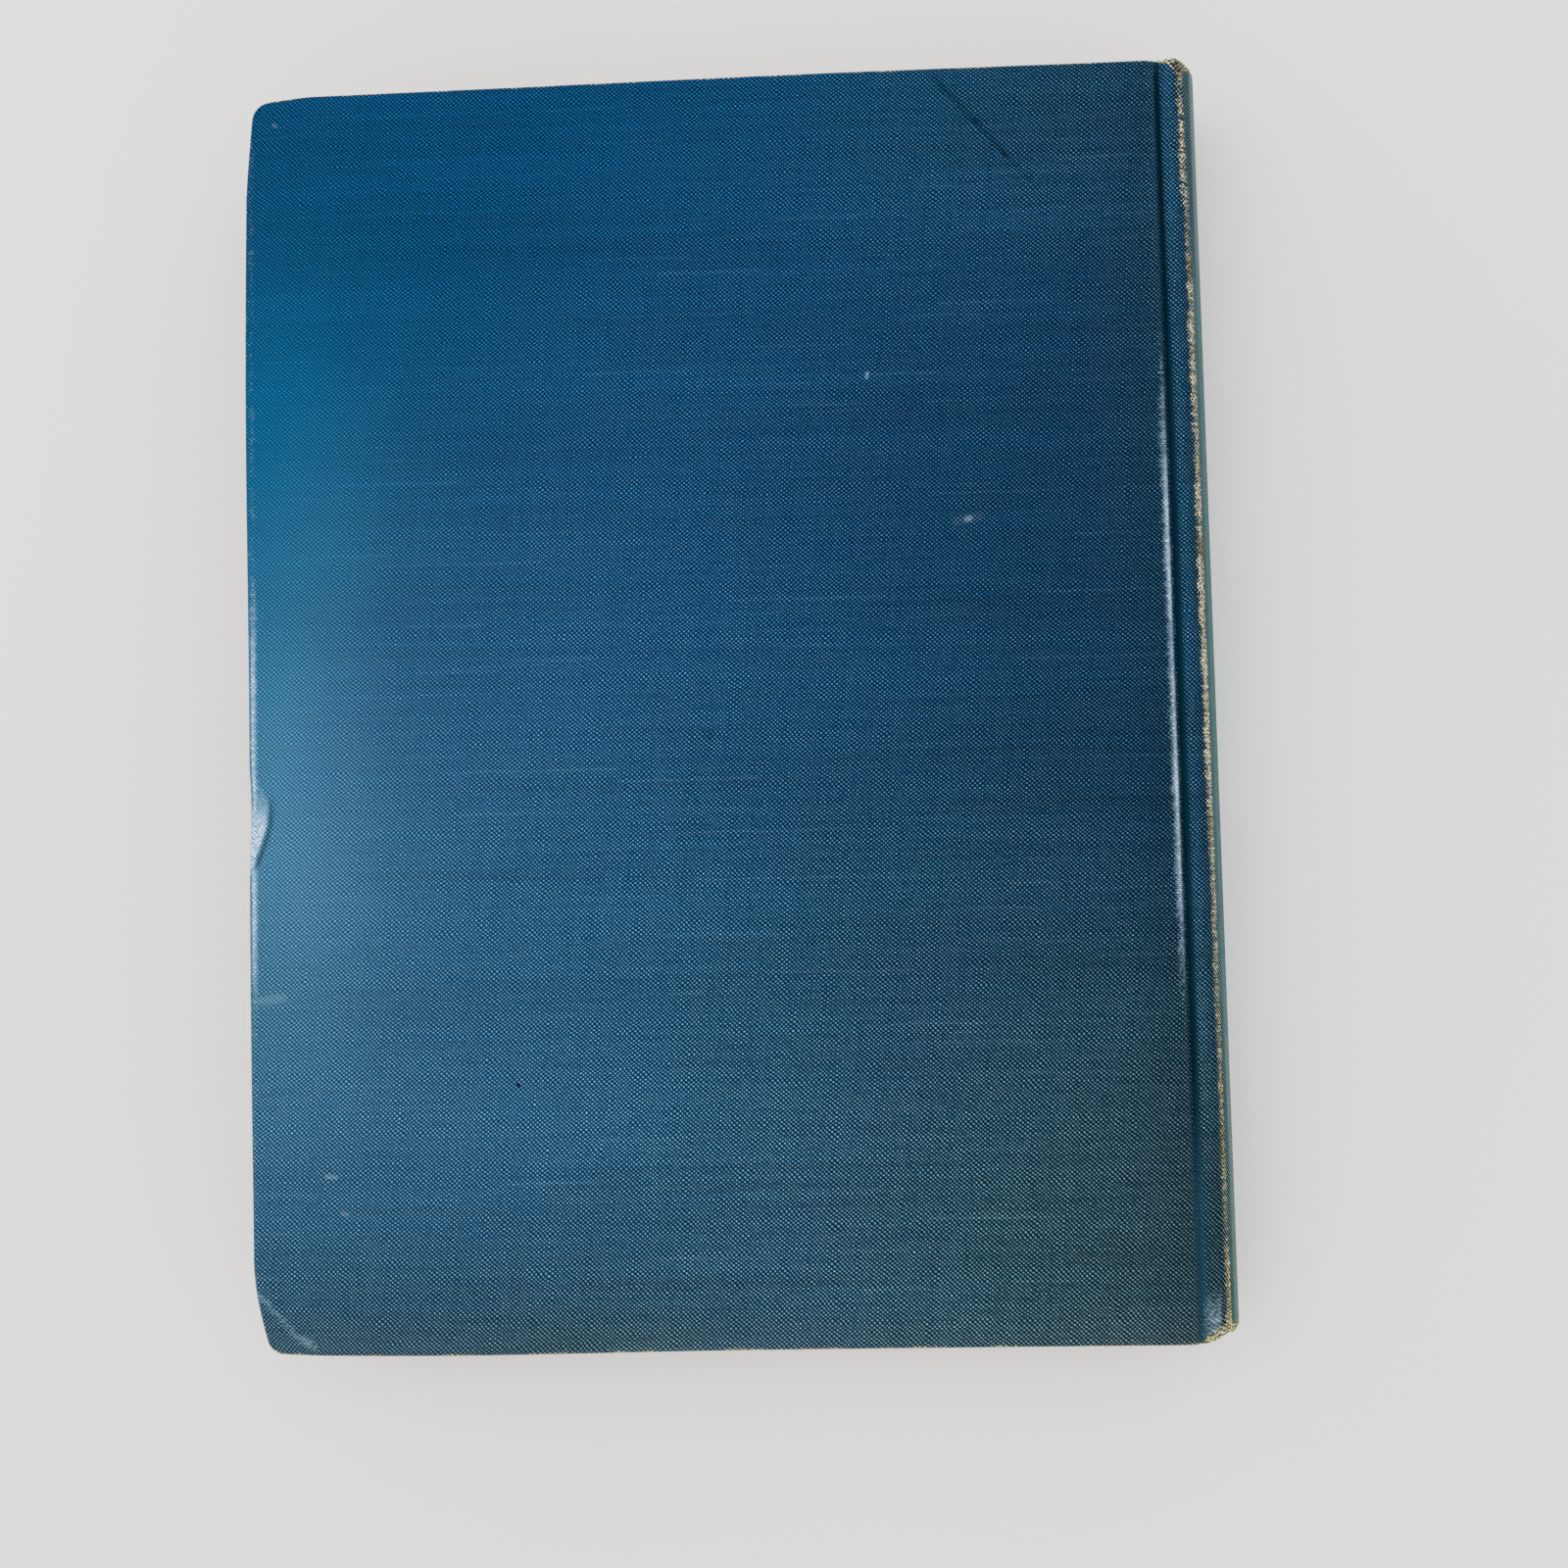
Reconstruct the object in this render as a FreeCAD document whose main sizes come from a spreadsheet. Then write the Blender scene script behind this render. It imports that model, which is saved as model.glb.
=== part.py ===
"""A hardcover book, case bound in cloth, as a parametric FreeCAD document.

The book lies on its front cover with the back cover up.  X runs from the fore edge to the
spine, Y from the tail to the head and Z from the front cover to the back cover, in
millimetres.  The origin is under the middle of the book, on the surface it lies on.

The driving dimensions are cells of the sheet called Sizes.  Every sketch, pad and pocket
takes its numbers from those cells through expressions, which the functions in the section
"Places worked out from the sizes" put together.
"""

import FreeCAD, Part
import math
import os

import Sketcher

SIZES = {
    # covers
    "cover_width": 174.9,        # one cover panel, fore edge to joint
    "cover_height": 241.0,       # head to tail
    "board_thickness": 2.4,
    "cloth_thickness": 0.4,
    "paper_thickness": 0.2,      # endpapers
    "turn_in": 15.0,             # cloth folded over onto the inner face
    "pastedown_margin": 3.6,     # cloth left showing round the pastedown
    "corner_round": 3.5,         # worn corners at the fore edge
    "bumped_round": 9.0,         # the knocked corner of the back cover
    "joint_corner_round": 1.5,
    "edge_round": 0.8,
    # pages
    "pages_thickness": 19.8,
    "square": 3.2,               # how far the covers stand out past the pages
    # joint and spine
    "joint_width": 5.6,          # cover panel to the edge of the spine
    "groove_depth": 1.6,
    "groove_gap": 0.25,          # spine cloth to cover cloth at the bottom of the groove
    "ridge_drop": 0.9,           # top of the ridge below the face of the cover
    "ridge_round": 1.0,
    "ridge_setback": 3.75,       # ridge to the edge of the spine
    "shoulder_drop": 1.6,        # edge of the spine below the face of the cover
    "spine_swell": 4.5,          # how far the round spine stands out past its edges
    "inlay_thickness": 0.6,
    "hollow_gap": 0.5,           # between the inlay and the lined back of the pages
    "lining_thickness": 0.2,
    "lining_shortfall": 2.0,     # lining stops this far from the head and the tail
    "mull_thickness": 0.25,
    "mull_shortfall": 12.0,      # mull stops this far from the head and the tail
    # headbands
    "bead_height": 1.8,
    "bead_thickness": 1.4,
    "band_tab": 10.0,            # the part of a headband glued down the back
    "band_clearance": 1.5,       # headband to the shoulder
    # sewing
    "stitch_width": 1.0,
    "stitch_thickness": 0.3,
    "stitch_rows": 7,
    "stitch_inset": 16.0,        # first and last row from the ends of the pages
}


# --- The document -----------------------------------------------------------------------

def make_sheet(doc):
    """Write the driving dimensions into a sheet, one named cell each."""
    sheet = doc.addObject("Spreadsheet::Sheet", "Sizes")
    for row, (name, value) in enumerate(SIZES.items(), start=1):
        sheet.set(f"A{row}", name)
        sheet.set(f"B{row}", str(value))
        sheet.setAlias(f"B{row}", name)
    doc.recompute()
    return sheet


def size(name):
    """The expression that reads one cell of the sheet."""
    return f"Sizes.{name}"


def plus(*terms):
    """The expression for a sum."""
    return "(" + " + ".join(terms) + ")"


def minus(first, *others):
    """The expression for the first term less all the others."""
    return "(" + " - ".join((first, *others)) + ")"


def half(term):
    """The expression for half a term."""
    return f"({term} / 2)"


def third_side(slope, leg):
    """The expression for the leg of a right triangle from its slope and its other leg."""
    return f"sqrt(({slope}) ^ 2 - ({leg}) ^ 2)"


# --- Places worked out from the sizes -----------------------------------------------------

CLOTH = size("cloth_thickness")
PAPER = size("paper_thickness")
MULL = size("mull_thickness")

# layers of a cover, counted from its outer face
BOARD_INNER = plus(CLOTH, size("board_thickness"))
TURN_IN_FACE = plus(BOARD_INNER, CLOTH)
PASTEDOWN_FACE = plus(TURN_IN_FACE, PAPER)
PAGES_FACE = plus(PASTEDOWN_FACE, PAPER)
THICKNESS = plus(size("pages_thickness"), PAGES_FACE, PAGES_FACE)
MIDDLE = half(THICKNESS)

# places along X
OVERALL_WIDTH = plus(size("cover_width"), size("joint_width"), size("spine_swell"))
FORE_EDGE = f"(-{half(OVERALL_WIDTH)})"
JOINT_EDGE = plus(FORE_EDGE, size("cover_width"))
SPINE_EDGE = plus(JOINT_EDGE, size("joint_width"))
RIDGE = minus(SPINE_EDGE, size("ridge_setback"))
PAGES_FORE = plus(FORE_EDGE, size("square"))
LIP_END = plus(JOINT_EDGE, size("groove_gap"))

# places along Y
PAGES_HEIGHT = minus(size("cover_height"), f"2 * {size('square')}")
INLAY_HEIGHT = minus(size("cover_height"), f"2 * {CLOTH}")

# the round of the spine: one centre for every layer
SPINE_HALF = minus(MIDDLE, size("shoulder_drop"))
SPINE_RADIUS = f"((({SPINE_HALF}) ^ 2 + {size('spine_swell')} ^ 2) / (2 * {size('spine_swell')}))"
SPINE_CENTRE = minus(half(OVERALL_WIDTH), SPINE_RADIUS)
INLAY_OUTER = minus(SPINE_RADIUS, CLOTH)
INLAY_INNER = minus(INLAY_OUTER, size("inlay_thickness"))
LINING_OUTER = minus(INLAY_INNER, size("hollow_gap"))
MULL_OUTER = minus(LINING_OUTER, size("lining_thickness"))
PAGES_ROUND = minus(MULL_OUTER, MULL)
INLAY_SPREAD = f"(({minus(SPINE_HALF, CLOTH)}) / ({INLAY_OUTER}))"
BAND_SPREAD = f"(({minus(half(size('pages_thickness')), size('band_clearance'))}) / ({PAGES_ROUND}))"


def height_at(depth, upper):
    """The Z of a place at a depth below the face of the upper or the lower cover."""
    if upper:
        return minus(THICKNESS, depth)
    return depth


def ridge_wall(inset):
    """Where a layer turns down the groove side of the ridge, as X and depth."""
    reach = minus(size("ridge_round"), inset)
    return minus(RIDGE, reach), plus(size("ridge_drop"), size("ridge_round"))


def ridge_foot(inset):
    """Where a layer over the ridge meets its own floor of the groove, as X and depth."""
    floor = plus(size("groove_depth"), inset)
    rise = minus(plus(size("ridge_drop"), size("ridge_round")), floor)
    reach = third_side(minus(size("ridge_round"), inset), rise)
    return minus(RIDGE, reach), floor


def ridge_top(inset):
    """The top of the ridge in a layer, as X and depth."""
    return RIDGE, plus(size("ridge_drop"), inset)


def spine_corner(inset, radius):
    """Where a layer turns from the shoulder into the round of the spine."""
    reach = third_side(radius, minus(SPINE_HALF, inset))
    return plus(SPINE_CENTRE, reach), plus(size("shoulder_drop"), inset)


def shoulder_outline(inset, radius, foot):
    """One layer over both shoulders and the spine, from the lower cover to the upper.

    The foot is the function that gives the start of the layer on the groove side.
    """
    rim = minus(size("ridge_round"), inset)
    lower = [(foot(inset), (rim, 1)), (ridge_top(inset), None)]
    lower.append((spine_corner(inset, radius), (radius, 1)))
    upper = [(spine_corner(inset, radius), None), (ridge_top(inset), (rim, 1))]
    upper.append((foot(inset), None))
    outline = [(x, height_at(depth, False), bend) for (x, depth), bend in lower]
    outline += [(x, height_at(depth, True), bend) for (x, depth), bend in upper]
    return outline


def turned_back(outline):
    """The same outline walked the other way, its arcs bent the other way."""
    bends = [bend for _, _, bend in outline]
    walk = []
    for index in range(len(outline) - 1, -1, -1):
        x, y, _ = outline[index]
        bend = bends[index - 1] if index > 0 else None
        walk.append((x, y, (bend[0], -bend[1]) if bend else None))
    return walk


def sector_outline(inner, outer, spread):
    """A ring sector about the centre of the spine; spread is the sine of its half angle."""
    out_x = plus(SPINE_CENTRE, f"{outer} * sqrt(1 - {spread} ^ 2)")
    in_x = plus(SPINE_CENTRE, f"{inner} * sqrt(1 - {spread} ^ 2)")
    return [
        (in_x, minus(MIDDLE, f"{inner} * {spread}"), None),
        (out_x, minus(MIDDLE, f"{outer} * {spread}"), (outer, 1)),
        (out_x, plus(MIDDLE, f"{outer} * {spread}"), None),
        (in_x, plus(MIDDLE, f"{inner} * {spread}"), (inner, -1)),
    ]


def panel_outline(inset, head_round, tail_round):
    """A cover panel seen from above, set in from its edges, with rounded corners."""
    left = plus(FORE_EDGE, inset)
    right = minus(JOINT_EDGE, inset)
    head = minus(half(size("cover_height")), inset)
    tail = f"(-{head})"
    joint = minus(size("joint_corner_round"), inset)
    low = minus(tail_round, inset)
    high = minus(head_round, inset)
    return [
        (plus(left, low), tail, None),
        (minus(right, joint), tail, (joint, 1)),
        (right, plus(tail, joint), None),
        (right, minus(head, joint), (joint, 1)),
        (minus(right, joint), head, None),
        (plus(left, high), head, (high, 1)),
        (left, minus(head, high), None),
        (left, plus(tail, low), (low, 1)),
    ]


def box_outline(left, right, tail, head):
    """A plain rectangle."""
    return [(left, tail, None), (right, tail, None), (right, head, None), (left, head, None)]


# --- Drawing and features -------------------------------------------------------------------

def origin_feature(body, role):
    """A plane or an axis of a body's own origin."""
    return next(item for item in body.Origin.OriginFeatures if item.Role == role)


def arc_between(start, end, radius, turn):
    """The arc of the given radius from start to end, turning left for 1 and right for -1."""
    chord = end - start
    reach = math.sqrt(max(radius ** 2 - (chord.Length / 2) ** 2, 0))
    across = FreeCAD.Vector(-chord.y, chord.x, 0).normalize()
    centre = (start + end) / 2 + across * reach * turn
    first = math.atan2(start.y - centre.y, start.x - centre.x)
    last = math.atan2(end.y - centre.y, end.x - centre.x)
    if turn < 0:
        first, last = last, first
    circle = Part.Circle(centre, FreeCAD.Vector(0, 0, 1), radius)
    return Part.ArcOfCircle(circle, first, last)


def draw(body, name, plane, outline, offset=None):
    """A closed sketch whose corners and radii are bound to the sheet.

    Each corner is an X expression, a Y expression and the bend of the edge that follows:
    None for a straight edge, or a radius expression with 1 for left and -1 for right.
    """
    sketch = body.newObject("Sketcher::SketchObject", name)
    sketch.AttachmentSupport = [(origin_feature(body, plane), "")]
    sketch.MapMode = "FlatFace"
    if offset:
        sketch.setExpression("AttachmentOffset.Base.z", offset)
    value = sketch.evalExpression
    points = [FreeCAD.Vector(float(value(x)), float(value(y)), 0) for x, y, _ in outline]
    ends = []
    for index, (_, _, bend) in enumerate(outline):
        start = points[index]
        end = points[(index + 1) % len(points)]
        if bend:
            arc = arc_between(start, end, float(value(bend[0])), bend[1])
            edge = sketch.addGeometry(arc)
            ends.append((edge, 1, 2) if bend[1] > 0 else (edge, 2, 1))
        else:
            edge = sketch.addGeometry(Part.LineSegment(start, end))
            ends.append((edge, 1, 2))
    for index, (edge, first, last) in enumerate(ends):
        following, its_first, _ = ends[(index + 1) % len(ends)]
        sketch.addConstraint(Sketcher.Constraint("Coincident", edge, last, following, its_first))
    for index, (x, y, bend) in enumerate(outline):
        edge, first, _ = ends[index]
        bind(sketch, ("DistanceX", -1, 1, edge, first, points[index].x), x)
        bind(sketch, ("DistanceY", -1, 1, edge, first, points[index].y), y)
        if bend:
            bind(sketch, ("Radius", edge, float(value(bend[0]))), bend[0])
    return sketch


def bind(sketch, constraint, expression):
    """Add one dimension to a sketch and tie it to an expression."""
    number = sketch.addConstraint(Sketcher.Constraint(*constraint))
    sketch.setExpression(f"Constraints[{number}]", expression)


def pad(body, sketch, length, both_ways=False, reverse=False):
    """Pad a sketch to a length that is bound to the sheet."""
    return extrude(body, "PartDesign::Pad", sketch, length, both_ways, reverse)


def pocket(body, sketch, length, both_ways=False, reverse=False):
    """Cut a sketch to a depth that is bound to the sheet, and see that it cuts."""
    before = body.Shape.Volume
    feature = extrude(body, "PartDesign::Pocket", sketch, length, both_ways, reverse)
    if body.Shape.Volume >= before:
        raise RuntimeError(f"{feature.Name} in {body.Label} cuts nothing")
    return feature


def extrude(body, kind, sketch, length, both_ways, reverse):
    """The feature shared by pads and pockets."""
    feature = body.newObject(kind, f"{sketch.Name}_{kind[12:]}")
    feature.Profile = sketch
    feature.SideType = "Symmetric" if both_ways else "One side"
    feature.Reversed = reverse
    feature.setExpression("Length", length)
    body.Document.recompute()
    return feature


def repeat_along_height(body, feature, span, count):
    """Repeat a feature along Y over a span, and make the result the body's tip."""
    rows = body.newObject("PartDesign::LinearPattern", f"{feature.Name}_rows")
    rows.Originals = [feature]
    rows.Direction = (origin_feature(body, "Y_Axis"), [""])
    rows.setExpression("Length", span)
    rows.setExpression("Occurrences", count)
    body.Tip = rows
    body.Document.recompute()
    return rows


def round_outer_face(body, radius):
    """Round the edges of the face that a cover turns outwards, at Z = 0 of its body."""
    tip = body.Tip
    faces = enumerate(tip.Shape.Faces, start=1)
    outer = next(number for number, face in faces if abs(face.CenterOfMass.z) < 1e-6)
    fillet = body.newObject("PartDesign::Fillet", "outer_edges")
    fillet.Base = (tip, [f"Face{outer}"])
    fillet.setExpression("Radius", radius)
    body.Document.recompute()


def new_body(doc, label):
    """An empty body whose label is the name of the piece."""
    body = doc.addObject("PartDesign::Body", label)
    body.Label = label
    return body


def lay_on(body, upper):
    """Turn a piece of a cover over for the back cover; the front cover's stays as drawn."""
    if upper:
        turned_over = FreeCAD.Rotation(FreeCAD.Vector(1, 0, 0), 180)
        body.Placement = FreeCAD.Placement(FreeCAD.Vector(), turned_over)
        body.setExpression("Placement.Base.z", THICKNESS)


# --- The covers -----------------------------------------------------------------------------
# Each piece is drawn with the outer face of its cover down at Z = 0.  A piece of the back
# cover is then turned over about X, which also swaps its head and its tail.

def corner_rounds(upper):
    """The head and tail rounds of a panel's fore edge, as drawn."""
    if upper:
        return size("bumped_round"), size("corner_round")
    return size("corner_round"), size("corner_round")


def make_board(doc, label, upper):
    """The stiff board of one cover."""
    body = new_body(doc, label)
    plan = panel_outline(CLOTH, *corner_rounds(upper))
    pad(body, draw(body, f"{label}_plan", "XY_Plane", plan, CLOTH), size("board_thickness"))
    lay_on(body, upper)
    return body


def make_cover_cloth(doc, label, upper):
    """The cloth over one board: face, edges and the turn-ins on the inner side."""
    body = new_body(doc, label)
    rounds = corner_rounds(upper)
    face = draw(body, f"{label}_face", "XY_Plane", panel_outline("0", *rounds))
    pad(body, face, TURN_IN_FACE)
    seat = draw(body, f"{label}_board_seat", "XY_Plane", panel_outline(CLOTH, *rounds), CLOTH)
    pocket(body, seat, size("board_thickness"), reverse=True)
    window = draw(body, f"{label}_window", "XY_Plane", turn_in_window(), BOARD_INNER)
    pocket(body, window, CLOTH, reverse=True)
    round_outer_face(body, size("edge_round"))
    lay_on(body, upper)
    return body


def turn_in_window(inset="0"):
    """The bare middle of the board that the turn-ins leave, less an inset."""
    left = plus(FORE_EDGE, size("turn_in"), inset)
    right = minus(JOINT_EDGE, CLOTH, inset)
    head = minus(half(size("cover_height")), size("turn_in"), inset)
    return box_outline(left, right, f"(-{head})", head)


def make_pastedown(doc, label, upper):
    """The endpaper glued to one board, sunk where it passes the turn-ins."""
    body = new_body(doc, label)
    margin = size("pastedown_margin")
    head = minus(half(size("cover_height")), margin)
    sheet = box_outline(plus(FORE_EDGE, margin), JOINT_EDGE, f"(-{head})", head)
    plan = draw(body, f"{label}_sheet", "XY_Plane", sheet, TURN_IN_FACE)
    pad(body, plan, PAPER)
    sunk = draw(body, f"{label}_sunk", "XY_Plane", turn_in_window(), BOARD_INNER)
    pad(body, sunk, CLOTH)
    hollow_floor = plus(BOARD_INNER, PAPER)
    hollow = draw(body, f"{label}_hollow", "XY_Plane", turn_in_window(PAPER), hollow_floor)
    pocket(body, hollow, CLOTH, reverse=True)
    lay_on(body, upper)
    return body


# --- The pages ------------------------------------------------------------------------------

def pages_outline():
    """The pages from the head: hollow fore edge, flat faces, shoulders and round back."""
    inset = plus(CLOTH, MULL)
    back = shoulder_outline(inset, PAGES_ROUND, ridge_wall)
    wall = ridge_wall(inset)[0]
    low = height_at(PAGES_FACE, False)
    high = height_at(PAGES_FACE, True)
    return [
        (PAGES_FORE, low, None),
        (wall, low, None),
        *back,
        (wall, high, None),
        (PAGES_FORE, high, (PAGES_ROUND, -1)),
    ]


def stitch_sketch(body, name, outer):
    """The section of one row of stitches, drawn at the first row near the tail."""
    start = minus(half(PAGES_HEIGHT), size("stitch_inset"))
    inner = minus(PAGES_ROUND, size("stitch_thickness"))
    return draw(body, name, "XZ_Plane", sector_outline(inner, outer, BAND_SPREAD), start)


def repeat_stitch(body, feature):
    """Repeat a stitch row up to the same distance from the head."""
    span = minus(PAGES_HEIGHT, f"2 * {size('stitch_inset')}")
    repeat_along_height(body, feature, span, size("stitch_rows"))


def make_text_block(doc):
    """All the leaves as one solid, with the kerfs that the sewing lies in."""
    body = new_body(doc, "text_block")
    section = draw(body, "pages_section", "XZ_Plane", pages_outline())
    pad(body, section, PAGES_HEIGHT, both_ways=True)
    kerf = stitch_sketch(body, "kerf_section", MULL_OUTER)
    cut = pocket(body, kerf, size("stitch_width"), both_ways=True)
    repeat_stitch(body, cut)
    return body


def make_sewing_thread(doc):
    """The rows of linked stitches across the back of the pages."""
    body = new_body(doc, "sewing_thread")
    section = stitch_sketch(body, "stitch_section", PAGES_ROUND)
    row = pad(body, section, size("stitch_width"), both_ways=True)
    repeat_stitch(body, row)
    return body


def make_flyleaf(doc, label, upper):
    """The free half of an endpaper, lying on the pages."""
    body = new_body(doc, label)
    wall = ridge_wall(plus(CLOTH, MULL))[0]
    head = half(PAGES_HEIGHT)
    sheet = box_outline(PAGES_FORE, wall, f"(-{head})", head)
    plan = draw(body, f"{label}_sheet", "XY_Plane", sheet, PASTEDOWN_FACE)
    pad(body, plan, PAPER)
    lay_on(body, upper)
    return body


def make_mull(doc):
    """The open-weave cloth glued over the back and shoulders of the pages."""
    body = new_body(doc, "mull")
    outer = shoulder_outline(CLOTH, MULL_OUTER, ridge_wall)
    inner = shoulder_outline(plus(CLOTH, MULL), PAGES_ROUND, ridge_wall)
    section = draw(body, "mull_section", "XZ_Plane", outer + turned_back(inner))
    height = minus(PAGES_HEIGHT, f"2 * {size('mull_shortfall')}")
    pad(body, section, height, both_ways=True)
    return body


def make_spine_lining(doc):
    """The strip of paper glued over the mull."""
    body = new_body(doc, "spine_lining")
    strip = sector_outline(MULL_OUTER, LINING_OUTER, BAND_SPREAD)
    section = draw(body, "lining_section", "XZ_Plane", strip)
    height = minus(PAGES_HEIGHT, f"2 * {size('lining_shortfall')}")
    pad(body, section, height, both_ways=True)
    return body


def make_headband(doc, label, at_head):
    """A headband: a bead on the end of the pages and a tab glued down their back."""
    body = new_body(doc, label)
    end = half(PAGES_HEIGHT)
    plane = f"(-{end})" if at_head else end
    bead_root = minus(PAGES_ROUND, size("bead_thickness"))
    bead = sector_outline(bead_root, MULL_OUTER, BAND_SPREAD)
    tab = sector_outline(PAGES_ROUND, MULL_OUTER, BAND_SPREAD)
    bead_sketch = draw(body, f"{label}_bead", "XZ_Plane", bead, plane)
    pad(body, bead_sketch, size("bead_height"), reverse=at_head)
    tab_sketch = draw(body, f"{label}_tab", "XZ_Plane", tab, plane)
    pad(body, tab_sketch, size("band_tab"), reverse=not at_head)
    return body


# --- The spine of the case --------------------------------------------------------------------

def make_spine_inlay(doc):
    """The strip of card that stiffens the hollow back."""
    body = new_body(doc, "spine_inlay")
    strip = sector_outline(INLAY_INNER, INLAY_OUTER, INLAY_SPREAD)
    section = draw(body, "inlay_section", "XZ_Plane", strip)
    pad(body, section, INLAY_HEIGHT, both_ways=True)
    return body


def spine_cloth_outline():
    """The cloth from the floor of one groove over both ridges to the other groove."""
    outer = shoulder_outline("0", SPINE_RADIUS, ridge_foot)
    inner = shoulder_outline(CLOTH, INLAY_OUTER, ridge_foot)
    floor = size("groove_depth")
    under = plus(floor, CLOTH)
    low_lip = (LIP_END, height_at(floor, False), None)
    high_lip = (LIP_END, height_at(floor, True), None)
    high_under = (LIP_END, height_at(under, True), None)
    low_under = (LIP_END, height_at(under, False), None)
    return [low_lip, *outer, high_lip, high_under, *turned_back(inner), low_under]


def make_spine_cloth(doc):
    """The cloth over the spine, folded in over the ends of the inlay."""
    body = new_body(doc, "spine_cloth")
    section = draw(body, "spine_cloth_section", "XZ_Plane", spine_cloth_outline())
    pad(body, section, size("cover_height"), both_ways=True)
    fold_inner = minus(INLAY_INNER, CLOTH)
    whole_fold = sector_outline(fold_inner, INLAY_OUTER, INLAY_SPREAD)
    fold = draw(body, "fold_section", "XZ_Plane", whole_fold)
    pad(body, fold, size("cover_height"), both_ways=True)
    inlay = sector_outline(INLAY_INNER, INLAY_OUTER, INLAY_SPREAD)
    seat = draw(body, "inlay_seat", "XZ_Plane", inlay)
    pocket(body, seat, INLAY_HEIGHT, both_ways=True)
    beyond_turn_in = sector_outline(fold_inner, INLAY_INNER, INLAY_SPREAD)
    bare = draw(body, "bare_section", "XZ_Plane", beyond_turn_in)
    pocket(body, bare, minus(size("cover_height"), f"2 * {size('turn_in')}"), both_ways=True)
    return body


# --- Building and writing ---------------------------------------------------------------------

def make_pieces(doc):
    """Every separate piece of the book."""
    return [
        make_text_block(doc),
        make_sewing_thread(doc),
        make_flyleaf(doc, "front_flyleaf", False),
        make_flyleaf(doc, "back_flyleaf", True),
        make_mull(doc),
        make_spine_lining(doc),
        make_headband(doc, "head_band", True),
        make_headband(doc, "tail_band", False),
        make_spine_inlay(doc),
        make_spine_cloth(doc),
        make_board(doc, "front_board", False),
        make_cover_cloth(doc, "front_cover_cloth", False),
        make_pastedown(doc, "front_pastedown", False),
        make_board(doc, "back_board", True),
        make_cover_cloth(doc, "back_cover_cloth", True),
        make_pastedown(doc, "back_pastedown", True),
    ]


def check(doc, pieces):
    """Stop if any object failed or any piece is not a sound solid."""
    for item in doc.Objects:
        if "Invalid" in item.State or "Error" in item.State:
            raise RuntimeError(f"{item.Name} failed: {item.State}")
    for piece in pieces:
        shape = piece.Shape
        if shape.isNull() or not shape.isValid() or not shape.Solids:
            raise RuntimeError(f"{piece.Label} is not a sound solid")


def main():
    """Build the document, check it and write each piece to its own file."""
    doc = FreeCAD.newDocument("hardcover_book")
    make_sheet(doc)
    pieces = make_pieces(doc)
    doc.recompute()
    check(doc, pieces)
    os.makedirs("parts", exist_ok=True)
    for piece in pieces:
        piece.Shape.exportStep(f"parts/{piece.Label}.step")
        box = piece.Shape.BoundBox
        print(f"{piece.Label}: {len(piece.Shape.Solids)} solid, {piece.Shape.Volume:.0f} mm3,"
              f" x {box.XMin:.2f}..{box.XMax:.2f} y {box.YMin:.2f}..{box.YMax:.2f}"
              f" z {box.ZMin:.2f}..{box.ZMax:.2f}")


main()
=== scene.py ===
"""The looks of a cloth-bound hardcover book that lies on its front cover.

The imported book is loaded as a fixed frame.  Its cloth, endpapers, boards and headbands are
then made again as fine meshes in the same places, and every surface gets a procedural finish.
All lengths are in metres unless a name or a docstring says millimetres.  X runs from the fore
edge to the spine, Y from tail to head and Z up.  "Setback" is a distance from the edge of the
spine towards the fore edge, and "depth" is a distance in from the outer face of a cover.
"""

import logging
import math
from dataclasses import dataclass, field
from enum import Enum
from typing import Any, ClassVar, Dict, Iterable, Optional, Sequence, Tuple

import bpy
import numpy as np
from mathutils import Euler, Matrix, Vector

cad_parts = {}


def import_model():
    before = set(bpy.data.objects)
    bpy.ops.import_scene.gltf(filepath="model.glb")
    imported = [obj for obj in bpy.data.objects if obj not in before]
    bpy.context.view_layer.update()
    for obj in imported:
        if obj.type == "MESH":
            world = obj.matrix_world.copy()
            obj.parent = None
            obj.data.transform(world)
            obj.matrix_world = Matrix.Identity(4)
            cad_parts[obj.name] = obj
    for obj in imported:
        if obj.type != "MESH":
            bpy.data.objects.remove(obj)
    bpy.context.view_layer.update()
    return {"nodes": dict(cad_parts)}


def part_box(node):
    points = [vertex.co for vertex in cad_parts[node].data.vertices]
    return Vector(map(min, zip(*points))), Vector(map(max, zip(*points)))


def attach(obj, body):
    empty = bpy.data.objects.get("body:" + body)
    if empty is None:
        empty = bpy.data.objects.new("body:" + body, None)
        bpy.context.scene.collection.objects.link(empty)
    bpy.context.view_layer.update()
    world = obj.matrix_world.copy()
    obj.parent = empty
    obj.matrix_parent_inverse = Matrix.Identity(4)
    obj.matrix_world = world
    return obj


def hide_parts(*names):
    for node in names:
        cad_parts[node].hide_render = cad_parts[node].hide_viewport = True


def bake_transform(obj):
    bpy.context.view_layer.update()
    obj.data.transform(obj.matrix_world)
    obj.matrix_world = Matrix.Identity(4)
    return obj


LOG = logging.getLogger("book")
MM = 0.001
BLOCK = "book_block"
Colour = Tuple[float, float, float]
Pair = Tuple[float, float]
Triple = Tuple[float, float, float]
Points = np.ndarray


# --- Small helpers ----------------------------------------------------------------------------


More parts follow.
